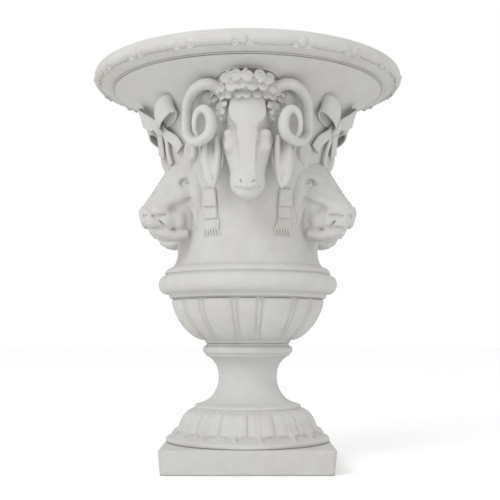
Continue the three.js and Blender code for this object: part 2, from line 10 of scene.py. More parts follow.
import bmesh
import bpy
import numpy as np
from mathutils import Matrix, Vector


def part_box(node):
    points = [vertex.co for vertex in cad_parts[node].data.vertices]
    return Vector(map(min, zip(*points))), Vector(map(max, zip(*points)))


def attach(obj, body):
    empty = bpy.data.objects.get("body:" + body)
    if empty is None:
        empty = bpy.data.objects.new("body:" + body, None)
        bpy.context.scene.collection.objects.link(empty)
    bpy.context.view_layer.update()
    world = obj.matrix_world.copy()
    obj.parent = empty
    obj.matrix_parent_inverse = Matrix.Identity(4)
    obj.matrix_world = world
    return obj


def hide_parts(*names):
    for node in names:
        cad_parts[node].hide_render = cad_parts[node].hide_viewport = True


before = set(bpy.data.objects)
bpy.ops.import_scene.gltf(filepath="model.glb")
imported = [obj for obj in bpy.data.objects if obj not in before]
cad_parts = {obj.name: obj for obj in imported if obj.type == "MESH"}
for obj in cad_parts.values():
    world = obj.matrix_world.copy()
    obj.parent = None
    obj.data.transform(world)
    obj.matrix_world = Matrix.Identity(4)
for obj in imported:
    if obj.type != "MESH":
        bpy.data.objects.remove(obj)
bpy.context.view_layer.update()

MM = 0.001


# %% [markdown]
# ## Camera
# A level view from below the rim's height makes the rim an arch and hides the mouth, so the
# camera stands low. A small tilt and a small upward shift together keep the axis upright.

# %% Camera
EYE_HEIGHT = 0.264
CAMERA_DISTANCE = 1.867
TILT = math.radians(1.5)
SIDE_STEP = 0.0047   # metres to the right of the axis
LENS = 65.2          # millimetres, on a 36 mm sensor
RISE = 0.1226        # upward shift, as a share of the frame

camera = bpy.data.objects.new("camera", bpy.data.cameras.new("camera"))
bpy.context.scene.collection.objects.link(camera)
camera.location = (SIDE_STEP, -CAMERA_DISTANCE, EYE_HEIGHT)
camera.rotation_euler = (math.pi / 2 + TILT, 0, 0)
camera.data.sensor_width = 36
camera.data.lens = LENS
camera.data.shift_y = RISE
camera.data.clip_end = 20
bpy.context.scene.camera = camera
print("camera", tuple(round(v, 3) for v in camera.location))


# %% [markdown]
# ## Studio
# White castings show their carving only by shade. One broad lamp, high on the left, gives
# each leaf a bright and a dull side, and a pale world fills the shadows softly.

# %% Floor, lamps and world
def area_lamp(name, place, target, size, energy):
    """A square lamp of that size in metres, turned to face the target."""
    lamp = bpy.data.objects.new(name, bpy.data.lights.new(name, "AREA"))
    bpy.context.scene.collection.objects.link(lamp)
    lamp.data.size, lamp.data.energy = size, energy
    lamp.location = place
    aim = np.array(target, float) - np.array(place, float)
    flat = math.hypot(aim[0], aim[1])
    lamp.rotation_euler = (math.atan2(flat, -aim[2]), 0, math.atan2(aim[1], aim[0]) - math.pi / 2)
    return lamp


floor_mesh = bpy.data.meshes.new("floor")
reach = 30.0
floor_mesh.from_pydata(
    [(-reach, -reach, 0), (reach, -reach, 0), (reach, reach, 0), (-reach, reach, 0)],
    [], [(0, 1, 2, 3)],
)
floor = bpy.data.objects.new("floor", floor_mesh)
bpy.context.scene.collection.objects.link(floor)
floor_paint = bpy.data.materials.new("pale_floor")
floor_paint.use_nodes = True
floor_shader = floor_paint.node_tree.nodes["Principled BSDF"]
floor_shader.inputs["Base Color"].default_value = (0.98, 0.98, 0.98, 1)
floor_shader.inputs["Roughness"].default_value = 0.9
floor_mesh.materials.append(floor_paint)

area_lamp("key_lamp", (-1.5, -2.0, 2.2), (0, 0, 0.45), 1.3, 33)
area_lamp("fill_lamp", (2.4, -1.8, 1.0), (0, 0, 0.4), 2.4, 6)
world = bpy.data.worlds.new("pale_world")
world.use_nodes = True
world.node_tree.nodes["Background"].inputs["Color"].default_value = (1, 1, 1, 1)
world.node_tree.nodes["Background"].inputs["Strength"].default_value = 1.0
bpy.context.scene.world = world
bpy.context.scene.view_settings.view_transform = "Standard"


# %% [markdown]
# ## Grids and pieces
# A grid of points is the common form of every surface here: rows run along a piece and
# columns run round it. One helper turns a grid into corners and faces, and another joins
# several grids into one piece, finds which way is out and gives it to the frame.

# %% Grid helpers
def grid_faces(rows, columns, wrap_rows=False):
    """Four corners for each cell of a grid whose columns wrap round, as an array."""
    row = np.arange(rows if wrap_rows else rows - 1)[:, None]
    column = np.arange(columns)[None, :]
    after = (row + 1) % rows
    right = (column + 1) % columns
    cells = np.stack([
        row * columns + column, row * columns + right,
        after * columns + right, after * columns + column,
    ], axis=-1)
    return cells.reshape(-1, 4)


def tube(points, wrap_rows=False, step=1):
    """A grid (rows, columns, 3) as a shell: (corners, faces, hollow).

    Unless the rows wrap too, each end closes on a point at the middle of its last ring.
    hollow is how far the neighbours, some steps away, stand out past the surface: the
    mean of the neighbours less the point, measured along the normal.
    """
    rows, columns, _ = points.shape
    if wrap_rows:
        up, down = np.roll(points, -step, 0), np.roll(points, step, 0)
    else:
        padded = np.pad(points, ((step, step), (0, 0), (0, 0)), mode="edge")
        up, down = padded[2 * step:], padded[:-2 * step]
    left, right = np.roll(points, step, 1), np.roll(points, -step, 1)
    normal = np.cross(right - left, up - down)
    normal /= np.linalg.norm(normal, axis=-1, keepdims=True) + 1e-9
    hollow = (((up + down + left + right) / 4 - points) * normal).sum(-1).ravel()
    corners = points.reshape(-1, 3)
    faces = [grid_faces(rows, columns, wrap_rows)]
    if not wrap_rows:
        first, last = len(corners), len(corners) + 1
        corners = np.vstack([corners, points[0].mean(0), points[-1].mean(0)])
        hollow = np.append(hollow, [0, 0])
        here = np.arange(columns)
        there = (here + 1) % columns
        end = (rows - 1) * columns
        faces.append(np.stack([np.full(columns, first), there, here], 1))
        faces.append(np.stack([np.full(columns, last), end + here, end + there], 1))
    return corners, faces, hollow


def swung(shell, degrees):
    """The shell turned about the urn's axis, from the front towards +X."""
    corners, faces, hollow = shell
    c, s = math.cos(math.radians(degrees)), math.sin(math.radians(degrees))
    x, y, z = corners.T
    return np.stack([c * x - s * y, s * x + c * y, z], 1), faces, hollow


def piece(name, shells, material, slot, *nodes):
    """Joins shells, in millimetres, into one object that stands in for CAD nodes."""
    corners = np.vstack([shell[0] for shell in shells])
    starts = np.cumsum([0] + [len(shell[0]) for shell in shells])
    groups = [group + start for shell, start in zip(shells, starts) for group in shell[1]]
    sizes = np.concatenate([np.full(len(group), group.shape[1]) for group in groups])
    loops = np.concatenate([group.ravel() for group in groups])
    mesh = bpy.data.meshes.new(name)
    mesh.vertices.add(len(corners))
    mesh.vertices.foreach_set("co", (corners * MM).astype(np.float32).ravel())
    mesh.loops.add(len(loops))
    mesh.loops.foreach_set("vertex_index", loops.astype(np.int32))
    mesh.polygons.add(len(sizes))
    mesh.polygons.foreach_set("loop_start", (np.cumsum(sizes) - sizes).astype(np.int32))
    mesh.update(calc_edges=True)
    shape = bmesh.new()
    shape.from_mesh(mesh)
    bmesh.ops.recalc_face_normals(shape, faces=shape.faces)
    shape.to_mesh(mesh)
    shape.free()
    mesh.polygons.foreach_set("use_smooth", np.ones(len(mesh.polygons), bool))
    layer = mesh.attributes.new("hollow", "FLOAT", "POINT")
    layer.data.foreach_set("value", np.concatenate([s[2] for s in shells]).astype(np.float32))
    mesh.materials.append(material)
    made = bpy.data.objects.new(name, mesh)
    bpy.context.scene.collection.objects.link(made)
    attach(made, "root")
    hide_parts(*nodes)
    print(name, len(mesh.polygons), "faces")
    return made


# %% [markdown]
# ## Outlines
# The castings are round, so each starts as an outline of radius and height. A few Bezier
# curves make the outline, as a turner's template would, and a relief is pushed out from it
# along its own normal, so that leaves and petals follow every curve.

# %% Curve helpers
def curve(*points, steps=24):
    """Points on a Bezier curve of (radius, height) corners: three corners bend once, four
    bend twice, and two are a straight line."""
    corners = np.array(points, float)
    share = np.linspace(0, 1, steps)[:, None]
    while len(corners) > 1:
        if corners.ndim == 2:
            corners = np.repeat(corners[:, None, :], steps, axis=1)
        corners = corners[:-1] * (1 - share) + corners[1:] * share
    return corners[0]


def outline(*stretches, steps, soften=1):
    """Stretches joined end to end into a closed outline. Each is spaced evenly along its own
    length in its own number of steps, so that carved bands can be dense and plain ones
    sparse. Each corner is softened by averaging neighbours a few times."""
    even = []
    for stretch, count in zip(stretches, steps):
        length = np.insert(np.cumsum(np.linalg.norm(np.diff(stretch, axis=0), axis=1)), 0, 0)
        where = np.linspace(0, length[-1], count)
        even.append(np.stack([np.interp(where, length, stretch[:, k]) for k in (0, 1)], 1))
    even = np.vstack(even)
    for _ in range(soften):
        even = even * 0.5 + (np.roll(even, 1, 0) + np.roll(even, -1, 0)) * 0.25
    return even


def smoothstep(low, high, value):
    """0 below low, 1 above high, and an easy S between them."""
    share = np.clip((value - low) / (high - low), 0, 1)
    return share * share * (3 - 2 * share)


def turned(profile, relief, columns):
    """A profile (n, 2) of radius and height, turned about the axis.

    relief(turn, radius, height, index) is how far each point moves along the profile's own
    normal. turn is 0 at the front and grows towards +X.
    """
    turn = np.linspace(0, 2 * np.pi, columns, endpoint=False)[None, :]
    along = np.roll(profile, -1, 0) - np.roll(profile, 1, 0)
    along /= np.linalg.norm(along, axis=1, keepdims=True) + 1e-9
    radius, height = profile[:, :1], profile[:, 1:]
    push = relief(turn, radius, height, np.arange(len(profile))[:, None])
    push = np.broadcast_to(push, (len(profile), columns))
    r = radius + along[:, 1:] * push
    z = height - along[:, :1] * push + 0 * turn
    return np.stack([r * np.sin(turn), -r * np.cos(turn), z], axis=-1)


def waver(turn, height, size, seed):
    """The slight unevenness of a hand-finished casting: a few slow waves round and up."""
    draw = np.random.default_rng(seed)
    total = 0
    for _ in range(5):
        around, upward = draw.integers(2, 9), draw.uniform(0.01, 0.05)
        total = total + np.sin(around * turn + upward * height + draw.uniform(0, 6))
    return size * total / 5


def level(node, end):
    """The lowest (end 0) or highest (end 1) height of a CAD node, in millimetres."""
    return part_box(node)[end].z / MM


def width(node):
    """How far a CAD node reaches along +X, in millimetres."""
    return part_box(node)[1].x / MM


# %% [markdown]
# ## Cast stone
# The casting is limewashed cast stone, nearly white and quite matt. Its colour wanders a
# little: warm stains in patches, and painted shade with a little grey dirt in the hollows.
# Pinholes left by air in the mould are dots of bump.

# %% Materials
def shader_nodes(name):
    """A new material, its node maker, its linker and its shader."""
    material = bpy.data.materials.new(name)
    material.use_nodes = True
    tree = material.node_tree

    def node(kind, **settings):
        made = tree.nodes.new(kind)
        for key, value in settings.items():
            if key in made.inputs:
                made.inputs[key].default_value = value
            else:
                setattr(made, key, value)
        return made

    return material, node, tree.links.new, tree.nodes["Principled BSDF"]


def ramp(node, low, high, first, second):
    """A colour ramp from the first colour at low to the second at high."""
    made = node("ShaderNodeValToRGB")
    for stop, (place, colour) in zip(made.color_ramp.elements, [(low, first), (high, second)]):
        stop.position = place
        stop.color = (*colour, 1)
    return made


def blend_colour(node, link, factor, first, second, mode="MIX"):
    """Mixes two colours, each a tuple or a socket, by a factor that is a number or one."""
    mix = node("ShaderNodeMix", data_type="RGBA", blend_type=mode)
    if isinstance(factor, float):
        mix.inputs["Factor"].default_value = factor
    else:
        link(factor, mix.inputs["Factor"])
    colours = [s for s in mix.inputs if s.type == "RGBA"]
    for socket, value in zip(colours, (first, second)):
        if isinstance(value, tuple):
            socket.default_value = (*value, 1)
        else:
            link(value, socket)
    return next(s for s in mix.outputs if s.type == "RGBA")


def cast_finish(name, clean, stain, shade_and_dust, grain=1.0):
    """Matt cast stone: a clean colour, a warm stain in patches and painted shade, with a little
    dirt, in the hollows.
    """
    material, node, link, shader = shader_nodes(name)
    place = node("ShaderNodeTexCoord").outputs["Object"]

    patches = node("ShaderNodeTexNoise", Scale=7.0, Detail=5.0, Roughness=0.6)
    mottle = node("ShaderNodeTexNoise", Scale=46.0, Detail=4.0, Roughness=0.65)
    fine = node("ShaderNodeTexNoise", Scale=900.0, Detail=3.0, Roughness=0.6)
    swell = node("ShaderNodeTexNoise", Scale=120.0, Detail=3.0, Roughness=0.55)
    pits = node("ShaderNodeTexVoronoi", Scale=210.0, Randomness=1.0)
    for texture in (patches, mottle, fine, swell, pits):
        link(place, texture.inputs["Vector"])

    stained = ramp(node, 0.47, 0.75, (0, 0, 0), (1, 1, 1))
    link(patches.outputs["Fac"], stained.inputs["Fac"])
    colour = blend_colour(node, link, stained.outputs["Color"], clean, stain)

    speck = ramp(node, 0.38, 0.66, (0.965, 0.965, 0.965), (1.02, 1.02, 1.02))
    link(mottle.outputs["Fac"], speck.inputs["Fac"])
    colour = blend_colour(node, link, 1.0, colour, speck.outputs["Color"], "MULTIPLY")

    # Painted shade, with a little dirt: the hollows darken towards the third colour, patchy by the
    # mottle.
    hollow = node("ShaderNodeAttribute", attribute_name="hollow")
    depth = node("ShaderNodeMapRange")
    for key, value in (("From Min", 0.05), ("From Max", 0.9), ("To Min", 0.0), ("To Max", 0.5)):
        depth.inputs[key].default_value = value
    link(hollow.outputs["Fac"], depth.inputs["Value"])
    patchy = node("ShaderNodeMath", operation="MULTIPLY")
    link(depth.outputs["Result"], patchy.inputs[0])
    link(mottle.outputs["Fac"], patchy.inputs[1])
    colour = blend_colour(node, link, patchy.outputs[0], colour, shade_and_dust)
    link(colour, shader.inputs["Base Color"])

    rough = ramp(node, 0.3, 0.7, (0.78, 0.78, 0.78), (0.92, 0.92, 0.92))
    link(mottle.outputs["Fac"], rough.inputs["Fac"])
    link(rough.outputs["Color"], shader.inputs["Roughness"])
    shader.inputs["Specular IOR Level"].default_value = 0.28

    holes = ramp(node, 0.0, 0.16, (0, 0, 0), (1, 1, 1))
    link(pits.outputs["Distance"], holes.inputs["Fac"])
    bumps = None
    for height, distance, strength in (
        (swell.outputs["Fac"], 0.0012, 0.32),
        (fine.outputs["Fac"], 0.0004, 0.4),
        (holes.outputs["Color"], 0.0006, 0.25),
    ):
        bump = node("ShaderNodeBump", Distance=distance, Strength=strength * grain)
        link(height, bump.inputs["Height"])
        if bumps is not None:
            link(bumps.outputs["Normal"], bump.inputs["Normal"])
        bumps = bump
    link(bumps.outputs["Normal"], shader.inputs["Normal"])
    return material


# The third colour of each finish is painted shade, with a little dirt, laid in the hollows.
cast_stone = cast_finish(
    "cast_stone", (0.50, 0.495, 0.48), (0.475, 0.455, 0.42), (0.27, 0.26, 0.235),
)
mortar = cast_finish(
    "lime_mortar", (0.44, 0.43, 0.41), (0.41, 0.395, 0.365), (0.28, 0.27, 0.25), grain=1.8,
)


def zinc_finish(name):
    """Zinc-plated steel: grey metal with a faint brushed cloudiness and dull patches."""
    material, node, link, shader = shader_nodes(name)
    place = node("ShaderNodeTexCoord").outputs["Object"]
    cloud = node("ShaderNodeTexNoise", Scale=160.0, Detail=4.0)
    link(place, cloud.inputs["Vector"])
    tint = ramp(node, 0.3, 0.75, (0.44, 0.45, 0.46), (0.62, 0.63, 0.64))
    dull = ramp(node, 0.3, 0.75, (0.32, 0.32, 0.32), (0.55, 0.55, 0.55))
    for target in (tint, dull):
        link(cloud.outputs["Fac"], target.inputs["Fac"])
    link(tint.outputs["Color"], shader.inputs["Base Color"])
    link(dull.outputs["Color"], shader.inputs["Roughness"])
    shader.inputs["Metallic"].default_value = 1.0
    bump = node("ShaderNodeBump", Distance=0.0002, Strength=0.3)
    link(cloud.outputs["Fac"], bump.inputs["Height"])
    link(bump.outputs["Normal"], shader.inputs["Normal"])
    return material


zinc = zinc_finish("zinc_plated_steel")
print("materials", [m.name for m in bpy.data.materials])


# %% [markdown]
# ## Plinth
# The plinth is a square block, drawn in a little towards the ground so that it leaves its
# mould. It could be a bevelled cube, but it has a round bore and a round recess below, so
# it is one closed skin instead: rings that start round in the bore, grow square across the
# top, run down the sides and turn round again on the underside.

# %% Plinth
def square_ring(half, height, columns, corner=6.0):
    """A square of that half width with rounded corners: the ray in each direction is cut
    off by the flat sides, or by the corner arcs where it meets them first."""
    turn = np.linspace(0, 2 * np.pi, columns, endpoint=False)
    c, s = np.abs(np.cos(turn)), np.abs(np.sin(turn))
    flat = half / np.maximum(c, s)
    middle = half - corner
    along = middle * (c + s)
    arc = along + np.sqrt(np.maximum(along**2 - (2 * middle**2 - corner**2), 0))
    beyond = np.minimum(c, s) * flat > middle
    ray = np.where(beyond, arc, flat)
    return np.stack([ray * np.sin(turn), -ray * np.cos(turn), np.full(columns, height)], -1)


def round_ring(radius, height, columns):
    """A circle of that radius, as one ring of a grid."""
    turn = np.linspace(0, 2 * np.pi, columns, endpoint=False)
    x, y = radius * np.sin(turn), -radius * np.cos(turn)
    return np.stack([x, y, np.full(columns, height)], -1)


def plinth():
    """Rings from the bore over the top, down the sides and back through the recess."""
    columns, top, half = 480, level("plinth", 1), width("plinth")
    bore, recess, ceiling, draft, round_edge = 22, 38, 28, 4, 3
    lean = lambda z: half - draft * (1 - z / top)
    rings = [round_ring(bore, top, columns), round_ring(bore + 30, top, columns)]
    rings += [square_ring(half * share, top, columns, 20) for share in (0.6, 0.8, 0.93)]
    for turn in np.linspace(0, np.pi / 2, 5):
        inset = round_edge * (1 - math.sin(turn))
        drop = round_edge * (1 - math.cos(turn))
        rings.append(square_ring(half - inset, top - drop, columns))
    rings += [square_ring(lean(z), z, columns) for z in np.linspace(top - 6, 3, 24)]
    rings += [square_ring(lean(0) - 0.8, 0.8, columns), square_ring(lean(0) - 3, 0, columns)]
    rings += [round_ring(r, 0, columns) for r in (recess + 30, recess)]
    rings += [round_ring(r, ceiling, columns) for r in (recess, bore)]
    points = np.array(rings)
    x, y, z = points[..., 0], points[..., 1], points[..., 2]
    side = ((z > 3) & (z < top - 3) & (np.maximum(abs(x), abs(y)) > half * 0.9))
    dip = 0.35 * np.sin(x / 31 + 1) * np.sin(y / 27 + 2) * np.sin(z / 15)
    points[..., :2] *= (1 + side * dip / half)[..., None]
    return tube(points, wrap_rows=True)


piece("stone_plinth", [plinth()], cast_stone, "cast_stone", "plinth")


# %% [markdown]
# ## Leaves and gadroons
# The foot and the bowl share one rhythm: eight wide leaves and eight narrow ones, with a
# narrow one under each ram's nose. A function of the turn says which leaf a point is on and
# how far across it, so that one formula carves all sixteen.

# %% The shared rhythm
BORE = 22.0
PERIOD = 2 * np.pi / 8
NARROW_HALF = math.radians(9.2)
WIDE_HALF = PERIOD / 2 - NARROW_HALF


def leaf_place(turn):
    """(across, wide): across runs from -1 to 1 over each leaf, and wide says which kind."""
    from_narrow = (turn + PERIOD / 2) % PERIOD - PERIOD / 2
    wide = np.abs(from_narrow) > NARROW_HALF
    from_wide = (turn % PERIOD) - PERIOD / 2
    across = np.where(wide, from_wide / WIDE_HALF, from_narrow / NARROW_HALF)
    return across, wide


def between(value, low, high):
    """The share of the way from low to high, not cut off."""
    return (value - low) / (high - low)


# %% [markdown]
# ## Foot
# A base ring, a reversed curve carved with water leaves, a bead and a waisted neck. Each
# leaf has a groove down its middle and a rib at each edge. The ribs run out over the base
# ring, and between them each leaf ends in an arch that is cut under.

# %% Foot
foot_low, foot_high = level("plinth", 1) + 0.2, level("knop", 0) - 0.2
LEAF_LOW, LEAF_HIGH = 60.0, 115.0


def foot_relief(turn, radius, height, index):
    """Two swells to a leaf, edge ribs that flare at the bottom, and an arch below."""
    across, wide = leaf_place(turn)
    up = between(height, LEAF_LOW, LEAF_HIGH)
    outside = (radius > 60) & (height > foot_low + 1)
    on_leaf = smoothstep(-0.02, 0.06, up) * (1 - smoothstep(0.93, 1.0, up)) * outside
    a = np.abs(across)
    lobes = np.sin(np.pi * np.clip(a, 0, 1)) ** 0.7
    lobes = lobes * np.where(wide, 5.2, 4.2) * (1 - 0.35 * up)
    rib_half = np.where(wide, 0.085, 0.12)
    rib = np.exp(-(((1 - a) / rib_half) ** 2)) * (3.6 - 1.2 * up)
    rib = rib + np.exp(-(((1 - a) / (rib_half * 1.5)) ** 2)) * 5 * np.exp(-((up / 0.22) ** 2))
    arch = 0.02 + 0.13 * np.sqrt(np.clip(1 - a**2, 0, 1))
    body = smoothstep(arch - 0.03, arch + 0.05, up)
    crest = smoothstep(0.0, 0.12, 0.86 + 0.12 * np.sqrt(np.clip(1 - a**2, 0, 1)) - up)
    groove = -1.3 * np.exp(-((a / 0.06) ** 2)) * body * (1 - 0.5 * up)
    under = -2.4 * np.exp(-(((up - arch + 0.04) / 0.045) ** 2)) * smoothstep(0.05, 0.2, 1 - a)
    carved = on_leaf * (lobes * body * crest + rib + groove + under)
    return carved + waver(turn, height, 0.35, 11) * outside


foot_profile = outline(
    curve((BORE, foot_low), (150, foot_low)),
    curve((150, foot_low), (165, foot_low), steps=8),
    curve((167, foot_low + 1), (168.5, foot_low + 5), (165.5, foot_low + 9), steps=8),
    curve((163, 58.4), (146, 61), (139, 74), (135, 88)),
    curve((135, 88), (130, 101), (121, 110), (109, 114.5)),
    curve((108, 115.5), (110.5, 116.5), (110.5, 123), (102, 124), steps=10),
    curve((99, 125), (78, 129), (60, 150), (59.7, 179), steps=40),
    curve((59.7, 179), (60, 198), (66, 211), (80, foot_high - 3)),
    curve((80, foot_high - 3), (83, foot_high - 1.5), (83, foot_high), steps=6),
    curve((82, foot_high), (BORE, foot_high)),
    steps=(6, 6, 12, 44, 36, 14, 20, 10, 4, 6),
)
piece("stone_foot", [tube(turned(foot_profile, foot_relief, 620), True)],
      cast_stone, "cast_stone", "foot")

# %% [markdown]
# ## Knop
# The knop is a plain ring between neck and bowl: a half round over a thin fillet.

# %% Knop
knop_low, knop_high = level("foot", 1), level("bowl", 0)
knop_r = width("knop")
knop_profile = outline(
    curve((BORE, knop_low), (79, knop_low)),
    curve((82, knop_low), (86, knop_low + 1), (86.5, knop_low + 4.5), steps=8),
    curve((85.5, knop_low + 5.5), (knop_r + 1.5, knop_low + 5.5),
          (knop_r + 1.5, knop_high - 5.5), (85.5, knop_high - 5)),
    curve((84.5, knop_high - 4.5), (85, knop_high), steps=5),
    curve((84, knop_high), (BORE, knop_high)),
    steps=(6, 6, 28, 4, 6),
)
piece("stone_knop",
      [tube(turned(knop_profile, lambda t, r, z, i: waver(t, z, 0.3, 5), 360), True)],
      cast_stone, "cast_stone", "knop")


# %% [markdown]
# ## Bowl
# Gadroons are long pillows that follow the bowl down and end in a round tip over the knop.
# Between a narrow and a wide one stands a thin raised fillet. A pillow is a rounded
# rectangle in across and up, and its height is the root of how far inside a point is.

# %% Bowl
bowl_low, bowl_high = level("bowl", 0), level("bowl", 1)
GADROON_LOW, GADROON_HIGH = bowl_low + 8, bowl_high - 1
BOWL_STEPS = (5, 6, 104, 4, 6, 14, 6)
BOWL_OUTER = sum(BOWL_STEPS[:4]) - 1  # steps of the outline that lie on the outside


def bowl_relief(turn, radius, height, index):
    """Crowned pillows with round lower tips, with thin fillets between them."""
    across, wide = leaf_place(turn)
    up = between(height, GADROON_LOW, GADROON_HIGH)
    outside = (radius > 86) & (height > bowl_low + 1) & (height < bowl_high - 0.2)
    outer = outside & (index < BOWL_OUTER)
    edge = np.where(wide, 0.84, 0.72)
    a = np.abs(across) / edge
    tip = np.clip((0.26 - up) / 0.26, 0, 2)
    top = np.clip((up - 0.95) / 0.05, 0, 2)
    inside = 1 - a**4 - tip**2.2 - top**4
    pillow = np.sqrt(np.clip(inside, 0, 1)) * np.where(wide, 4.6, 3.6)
    crown = np.where(wide, 1.6, 0.5) * np.clip(1 - a**2, 0, 1) * smoothstep(0, 0.3, inside)
    gap = (1 - np.abs(across)) / np.where(wide, 0.07, 0.105)
    fillet = 2.6 * np.exp(-(gap**4)) * smoothstep(0.1, 0.28, up) * (1 - smoothstep(0.95, 1, up))
    return outer * (pillow + crown + fillet + waver(turn, height, 0.3, 23))


mouth_r, floor_height = 119, 274.3
bowl_profile = outline(
    curve((BORE, bowl_low), (84, bowl_low)),
    curve((84, bowl_low), (88, bowl_low + 1), (88, bowl_low + 6), steps=6),
    curve((88, bowl_low + 6), (116, bowl_low + 15), (145, bowl_low + 46), (152.5, bowl_high - 3),
          steps=60),
    curve((152.5, bowl_high - 2), (152.5, bowl_high), steps=8),
    curve((151.5, bowl_high), (mouth_r, bowl_high)),
    curve((mouth_r, bowl_high), (mouth_r, bowl_high - 34), (98, floor_height + 6.1),
          (78, floor_height)),
    curve((78, floor_height), (BORE, floor_height)),
    steps=BOWL_STEPS,
)
piece("stone_bowl", [tube(turned(bowl_profile, bowl_relief, 640), True)],
      cast_stone, "cast_stone", "bowl")


# %% [markdown]
# ## Body
# Belt, bell and flare are one casting and plain: a full half-round torus, a sloping band,
# then the bell, which leans out more and more until it turns into the flare. The outline is
# kept as arrays, because the heads and the ribbons are laid on it.

# %% Body
body_low, body_high = level("body", 0), level("body", 1)
flare_r = width("body")
outer_stretches = [
    curve((157, body_low - 1), (161.5, body_low), (161.5, body_low + 8), steps=8),
    curve((162, body_low + 9.5), (170, body_low + 9.5), steps=5),
    curve((170, body_low + 9.5), (187.5, body_low + 13), (187.5, body_low + 45.5),
          (169, body_low + 45.8), steps=40),
    curve((168, body_low + 47), (174, body_low + 50), (166, body_low + 60),
          (158, body_low + 62), steps=16),
    curve((155, body_low + 63), (147, body_low + 70), (144, body_low + 84),
          (144, body_low + 95), steps=20),
    curve((144, body_low + 95), (144, body_low + 195), (173, body_low + 292),
          (193, body_low + 352), steps=80),
    curve((193, body_low + 352), (204, body_low + 378), (236, body_high - 20),
          (flare_r, body_high), steps=50),
]
outer_wall = np.vstack(outer_stretches)
inner_stretches = [
    curve((256, body_high), (180, body_high), (168, 712.6), (166, 690.6), steps=40),
    curve((166, 690.6), (146, 630.6), (117, 533.6), (117, 433.6), steps=60),
    curve((117, 433.6), (119, body_low - 1), steps=30),
]
body_profile = outline(*outer_stretches, *inner_stretches,
                       steps=(6, 5, 34, 20, 16, 90, 50, 20, 26, 8), soften=1)


def wall_radius(height):
    """The bell's outer radius at a height above the belt, read off the outline."""
    bell = outer_wall[outer_wall[:, 1] > body_low + 62]
    return np.interp(height, bell[:, 1], bell[:, 0])


def flare_height(radius):
    """The height of the flare's underside at a radius, read off the outline."""
    bell = outer_wall[outer_wall[:, 1] > body_low + 95]
    return np.interp(radius, bell[:, 0], bell[:, 1])


piece("stone_body",
      [tube(turned(body_profile, lambda t, r, z, i: waver(t, z, 0.5, 31), 320), True)],
      cast_stone, "cast_stone", "body")
print("bell radius under the heads", round(float(wall_radius(560)), 1))


# %% [markdown]
# ## Rim
# The rolled lip carries a running pattern: eighteen lying scallops with an outlined lower
# edge, and between them a tuft of small leaves fanned from a drilled point. Both are height
# functions of the way along one repeat and the way up the band.

# %% Rim
rim_low, rim_high = level("rim", 0), level("rim", 1)
REPEATS = 18
CARVED_RADIUS, CARVED_HEIGHT = 305, 30  # the size of the pattern, laid flat
lip_face = curve((300, rim_low + 4), (310.5, rim_low + 8), (313, rim_low + 16),
                 (311.5, rim_low + 24), steps=60)


def rim_relief(turn, radius, height, index):
    """Lying scallops with a rolled end at each side, and leaf tufts over their meetings."""
    repeat = 2 * np.pi / REPEATS
    number = np.round((turn + math.radians(1.5)) / repeat)
    # millimetres from the tuft's middle, and from the middle of the band
    along = (turn + math.radians(1.5) - number * repeat) * CARVED_RADIUS
    up = (index - RIM_BAND[0]) / (RIM_BAND[1] - RIM_BAND[0])    # 0 at the fascia, 1 at the roll
    band = smoothstep(0.0, 0.05, up) * (1 - smoothstep(0.94, 1.0, up))
    y = (up - 0.5) * CARVED_HEIGHT

    half = CARVED_RADIUS * repeat / 2
    from_shell = half - np.abs(along)                # 0 at the middle of a shell
    lean = np.clip(from_shell / half, 0, 1)
    lower = -9.5 + 5.5 * lean**2 + 1.2 * np.sin(along / 3.4 + number)
    upper = 11.5 - 3.0 * lean**2
    inside = np.minimum(y - lower, upper - y)
    shell = 3.0 * smoothstep(0, 7, inside) * (1 - 0.55 * lean**3)
    flutes = 0.5 * np.cos(along / 3.1) * smoothstep(2, 8, inside) * smoothstep(0.2, 0.7, lean)
    bead = 1.5 * np.exp(-((inside - 1.2) / 1.6) ** 2)
    ditch = -2.4 * np.exp(-((inside + 2.6) / 1.9) ** 2) * (y < 3)

    spread = np.arctan2(along, y + 15)
    length = np.hypot(along, y + 15)
    leaflet = np.abs(np.cos(spread * 2.6 + 0.35 * np.sin(number * 2.4))) ** 0.5
    reach = 15 + 10 * leaflet * (1 - 0.25 * np.abs(spread))
    leaf = smoothstep(0, 4, reach - length) * (np.abs(spread) < 1.35)
    tuft = leaf * (1.2 + 3.6 * leaflet) * smoothstep(0, 10, length)
    drill = np.exp(-(((np.abs(along) - 14.5) / 2.6) ** 2) - ((y + 6.5) / 2.4) ** 2)
    drill = drill + 0.8 * np.exp(-(((np.abs(along) - 4) / 1.6) ** 2) - ((y + 9.5) / 2.4) ** 2)
    carving = np.maximum(shell + flutes + bead + ditch, np.where(leaf > 0.05, tuft, -9))
    return band * (carving - 3.0 * drill) + waver(turn, height, 0.4, 47)


RIM_STEPS = (8, 10, 6, 62, 26, 12, 6)
RIM_BAND = (sum(RIM_STEPS[:3]), sum(RIM_STEPS[:4]))  # the carved steps of the outline
rim_profile = outline(
    curve((256, rim_low), (flare_r + 0.5, rim_low)),
    curve((flare_r + 1, rim_low), (290, rim_low + 1), (295, rim_low + 3.4)),
    curve((295.5, rim_low + 3.8), (298, rim_low + 4), (299, rim_low + 5)),
    lip_face,
    curve((311.5, rim_low + 24), (311.5, rim_high - 3), (305, rim_high - 0.2),
          (290, rim_high)),
    curve((290, rim_high), (270, rim_high), (258, rim_high - 9), (257, rim_high - 20)),
    curve((257, rim_high - 20), (256, rim_low)),
    steps=RIM_STEPS, soften=1,
)
piece("stone_rim", [tube(turned(rim_profile, rim_relief, 760), True)],
      cast_stone, "cast_stone", "rim")
print("carved band of the rim", lip_face[0].round(1), "to", lip_face[-1].round(1))


# %% [markdown]
# ## Modelling clay
# Heads are sculpture, so they are modelled as a sculptor would: lumps and rolls of clay are
# pressed on and smoothed in, and hollows are cut. The clay is a grid of distances to its
# surface, negative inside. Joining two shapes is the smaller of their distances with the
# crease rounded off. The skin is then drawn where the distance is nought.

